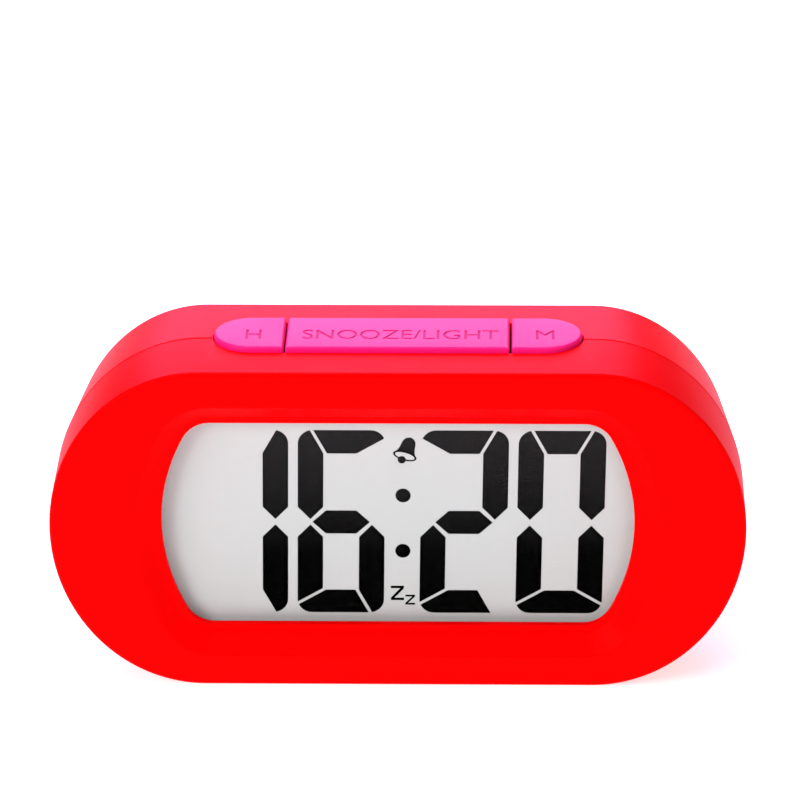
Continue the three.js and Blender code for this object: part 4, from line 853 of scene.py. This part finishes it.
def turned(name, profile, centre, finish, body, slot, along="y", closes=True, steps=48):
    """A body of revolution: profile is (radius, distance) pairs along an axis through centre."""
    t = np.linspace(0, 2 * math.pi, steps, endpoint=False)
    rings = []
    for radius, reach in profile:
        u, v, w = radius * np.cos(t), radius * np.sin(t), np.full(steps, float(reach))
        rings.append(np.stack([w, u, v] if along == "x" else [u, w, v], 1) + centre)
    piece = skin(name, rings, closes, finish, body)
    return piece


# %% Openings in the back half
def grown(spans, by):
    """Spans widened by the same amount at each end."""
    return [(low - by, high + by) for low, high in spans]


door_low, door_high = box_mm("battery_door")
DOOR = [(door_low[0], door_high[0]), (13.25, door_high[2])]
RECESS = grown(DOOR, 0.2)
LEDGE_Y = 20.0  # the door rests on this ledge
BAY = round_box((-25, 25), (16.05, 49.95), 0.5)
WELL, GRILLE = 2.9, (3.6, 9, 0.8)  # a screw well's radius; the slots' pitch, reach and half width
SCREWS = [sum(box_mm(f"case_screw_{i}")) / 2 for i in (1, 2, 3, 4)]
BUZZER = sum(box_mm("buzzer_disc")) / 2
tools = [opening(round_box(*RECESS, 2), BACK - 3),
         opening(round_box((-8, 8), (RECESS[1][1] - 4, RECESS[1][1] + 4), 3), LEDGE_Y + 0.05, 0.6)]
for x, _, z in SCREWS:
    tools.append(opening(round_box(*grown([(x, x), (z, z)], WELL), WELL - 0.01), BACK - 3, 0.3))
for k in range(-2, 3):
    across, half = GRILLE[0] * k, math.sqrt(GRILLE[1] ** 2 - (GRILLE[0] * k) ** 2)
    x, z = BUZZER[0] + across, BUZZER[2]
    tools.append(opening(round_box((x - GRILLE[2], x + GRILLE[2]), (z - half, z + half),
                                   GRILLE[2] - 0.01), BACK - 3))
# Name, middle, and how far the button goes to either side.
SLIDES = [("alarm", -18, 0, 4), ("mode", 18, -3, 3)]
SLIDE_Z, GRIP, GRIP_CLEARANCE = 61, (2.2, 1.5), 0.25
for _, x, low, high in SLIDES:
    slot = grown([(x + low - GRIP[0], x + high + GRIP[0]), (SLIDE_Z - GRIP[1], SLIDE_Z + GRIP[1])],
                 GRIP_CLEARANCE)
    tools.append(opening(round_box(*slot, 0.8), BACK - 3, 0.0))
    tools.append(opening(round_box(*grown(slot, 1.5), 1.6), BACK - 0.8, 0.3))
cut(rear_half, *tools)
print("back half", len(rear_half.data.polygons), "faces after", len(tools), "openings")

# %% Words moulded into the back
# Words, middle, width and height.
WORDS = [
    ("OFF", -18.8, 65.6, 3.4, 1.5), ("ON", -13.4, 65.6, 2.5, 1.5), ("TIME", 13.8, 65.6, 3.6, 1.5),
    ("LOCK", 18.0, 68.2, 3.8, 1.5), ("ALARM", 22.6, 65.6, 4.6, 1.5), ("OPEN", 0, 39.5, 7, 2.0),
]


def moulded(piece, body, words, x, z, width, height, y):
    """Sinks words into a surface that faces back and fills them, to read rightly from behind."""
    turn = lambda p: np.stack([x - p[:, 0], y + p[:, 2], z + p[:, 1]], 1)
    return sunk_legend(piece, words, width, height, 0.2, turn, WHITE_INK, body)


for words, x, z, width, height in WORDS[:-1]:
    moulded(rear_half, "case", words, x, z, width, height, BACK)
print(len(WORDS) - 1, "words on the back")

# %% The bay, the screw wells and the sounder's cup
tub = round_box((-26.6, 26.6), (14.45, 51.55), 1)
ledge = round_box(*grown(DOOR, 2.2), 1)
bay = skin("battery_bay", [
    *outline_at(tub, (7.2, 0), (18.2, 0)), *outline_at(ledge, (18.2, 0), (LEDGE_Y, 0)),
    *outline_at(BAY, (LEDGE_Y, 0.2), (LEDGE_Y - 0.2, 0), (8.6, 0)),
], False, SOFT_TOUCH_RED, "case")
TAB_X = 15
for x in (-TAB_X, TAB_X):
    cut(bay, block((x - 3.3, 17.8, 11.15), (x + 3.3, LEDGE_Y + 0.5, 16.15)))
for i, (x, _, z) in enumerate(SCREWS, 1):
    turned(f"screw_well_{i}", [(3.9, 5.3), (3.9, 19.9), (WELL, 19.9), (WELL, 11.5), (1.45, 11.5),
                               (1.45, 5.3)], (x, 0, z), SOFT_TOUCH_RED, "case", "red_soft_touch")
turned("sounder_cup", [(11.7, 16.8), (11.7, 19.85), (10.3, 19.85), (10.3, 16.8)],
       (BUZZER[0], 0, BUZZER[2]), SOFT_TOUCH_RED, "case", "red_soft_touch")
print("bay", len(bay.data.polygons), "faces")

# %% [markdown]
# ## The battery door
# One moulded panel: two tabs hook under the case below it, and a springy tongue, freed by two slots,
# latches at the top. Grooves across the tongue give a fingertip some grip.

# %% Battery door
DOOR_FRONT = BACK - 1.9
panel = round_box(*DOOR, 1.8)
door = skin("door_panel", outline_at(panel, (DOOR_FRONT, -0.15), (DOOR_FRONT + 0.15, 0),
                                     *[(door_high[1] - 0.5 + b, -a) for a, b in quarter(0.5, 6)]),
            False, SOFT_TOUCH_RED, "door", "battery_door")
cut(door, *[block((x - 0.4, DOOR_FRONT - 1, door_high[2] - 9), (x + 0.4, BACK + 1, door_high[2] + 1))
            for x in (-6.4, 6.4)])
grooves = [block((-4.5, door_high[1] - 0.35, z - 0.3), (4.5, BACK + 1, z + 0.3))
           for z in door_high[2] - np.arange(2.2, 8, 1.3)]
cut(door, *grooves)
moulded(door, "door", *WORDS[-1], door_high[1])
for side, x in (("left", -TAB_X), ("right", TAB_X)):
    tab = new_piece("door_tab_" + side, *solid_steps([
        ((x - 3, 18.4, door_low[2]), (x + 3, 19.6, 15.45)),
        ((x - 3, 19.6, DOOR[1][0] + 0.2), (x + 3, DOOR_FRONT, 15.45)),
    ]), SOFT_TOUCH_RED, "door")
print("door", len(door.data.polygons), "faces")

# %% [markdown]
# ## The slide switches
# A button is a wide shoe behind the wall with a narrow grip that stands in the slot. A socket in the
# shoe takes the switch's lever, and three grooves across the grip give a fingernail some hold.

# %% Slide switch buttons
for name, x, low, high in SLIDES:
    shoe_low, shoe_high = box_mm(name + "_slider")
    shoe = round_box((shoe_low[0], shoe_high[0]), (shoe_low[2], shoe_high[2]), 0.6)
    grip = round_box((x - GRIP[0], x + GRIP[0]), (SLIDE_Z - GRIP[1], SLIDE_Z + GRIP[1]), 0.6)
    top = shoe_high[1]
    slide = skin(name + "_slide_button", [
        *outline_at(shoe, (shoe_low[1], 0), (shoe_low[1] + 2, 0)),
        *outline_at(grip, (shoe_low[1] + 2, 0)),
        *outline_at(grip, *[(top - 0.3 + b, -a) for a, b in quarter(0.3, 4)]),
    ], False, SOFT_TOUCH_PINK, name + "_slide", name + "_slider")
    lever_low, lever_high = box_mm(name + "_switch_lever")
    cut(slide, block(lever_low - 0.15, lever_high + 0.15),
        *[block((x + dx - 0.25, top - 0.35, SLIDE_Z - 2), (x + dx + 0.25, top + 1, SLIDE_Z + 2))
          for dx in (-1.2, 0, 1.2)])
    print(name, "slide button", len(slide.data.polygons), "faces")

# %% [markdown]
# ## The cells
# Each cell is a steel can in a printed sleeve that wraps its two ends, so it is two bodies of
# revolution. The middle one lies the other way round, to put the three in series.

# %% Cells
for i in (1, 2, 3):
    cell_low, cell_high = box_mm(f"battery_{i}")
    middle = (cell_low + cell_high) / 2
    sign = 1 if i != 2 else -1  # the nub's side
    start, end = (cell_low[0], cell_high[0]) if sign > 0 else (cell_high[0], cell_low[0])
    at = lambda d: start + sign * d
    axis = (0, middle[1], middle[2])
    sleeve = [(4.6, at(0)), (5.1, at(0)), (5.25, at(0.25)), (5.25, at(42.9)), (5.1, at(43.2)),
              (4.5, at(43.2)), (4.5, at(43.0)), (4.6, at(0.3))]
    piece = turned(f"cell_sleeve_{i}", sleeve, axis, CELL_SLEEVE, "case", "cell_sleeve", "x")
    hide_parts(f"battery_{i}")
    ends = [(4.3, at(0.1)), (4.59, at(0.35)), (4.49, at(43.0)), (4.3, at(43.3)), (2.3, at(43.6)),
            (1.9, at(43.7)), (1.9, at(44.3)), (1.7, at(44.5))]
    turned(f"cell_can_{i}", ends, axis, NICKEL, "case", "nickel", "x", closes=False)
print("3 cells")

# %% [markdown]
# ## The floor
# A wide white floor, pale enough to vanish into the background.

# %% Floor
FLOOR_FINISH, floor_tree, floor_place = start_material("studio_floor")
mottle = add_node(floor_tree, "ShaderNodeTexNoise", {"Vector": floor_place, "Scale": 3.0})
pale = add_node(floor_tree, "ShaderNodeMapRange", {"Value": mottle.outputs["Fac"], "To Min": 0.93,
                                                   "To Max": 0.95})
floor_shader = add_node(floor_tree, "ShaderNodeBsdfPrincipled", {
    "Base Color": pale.outputs[0], "Roughness": 0.9, "Specular IOR Level": 0.1,
    "Emission Color": (1, 1, 1, 1), "Emission Strength": 0.62})
finish_material(floor_tree, floor_shader)
floor_mesh = bpy.data.meshes.new("floor")
floor_mesh.from_pydata([(-6, -6, 0), (6, -6, 0), (6, 6, 0), (-6, 6, 0)], [], [(0, 1, 2, 3)])
floor_mesh.materials.append(FLOOR_FINISH)
floor = bpy.data.objects.new("floor", floor_mesh)
bpy.context.collection.objects.link(floor)
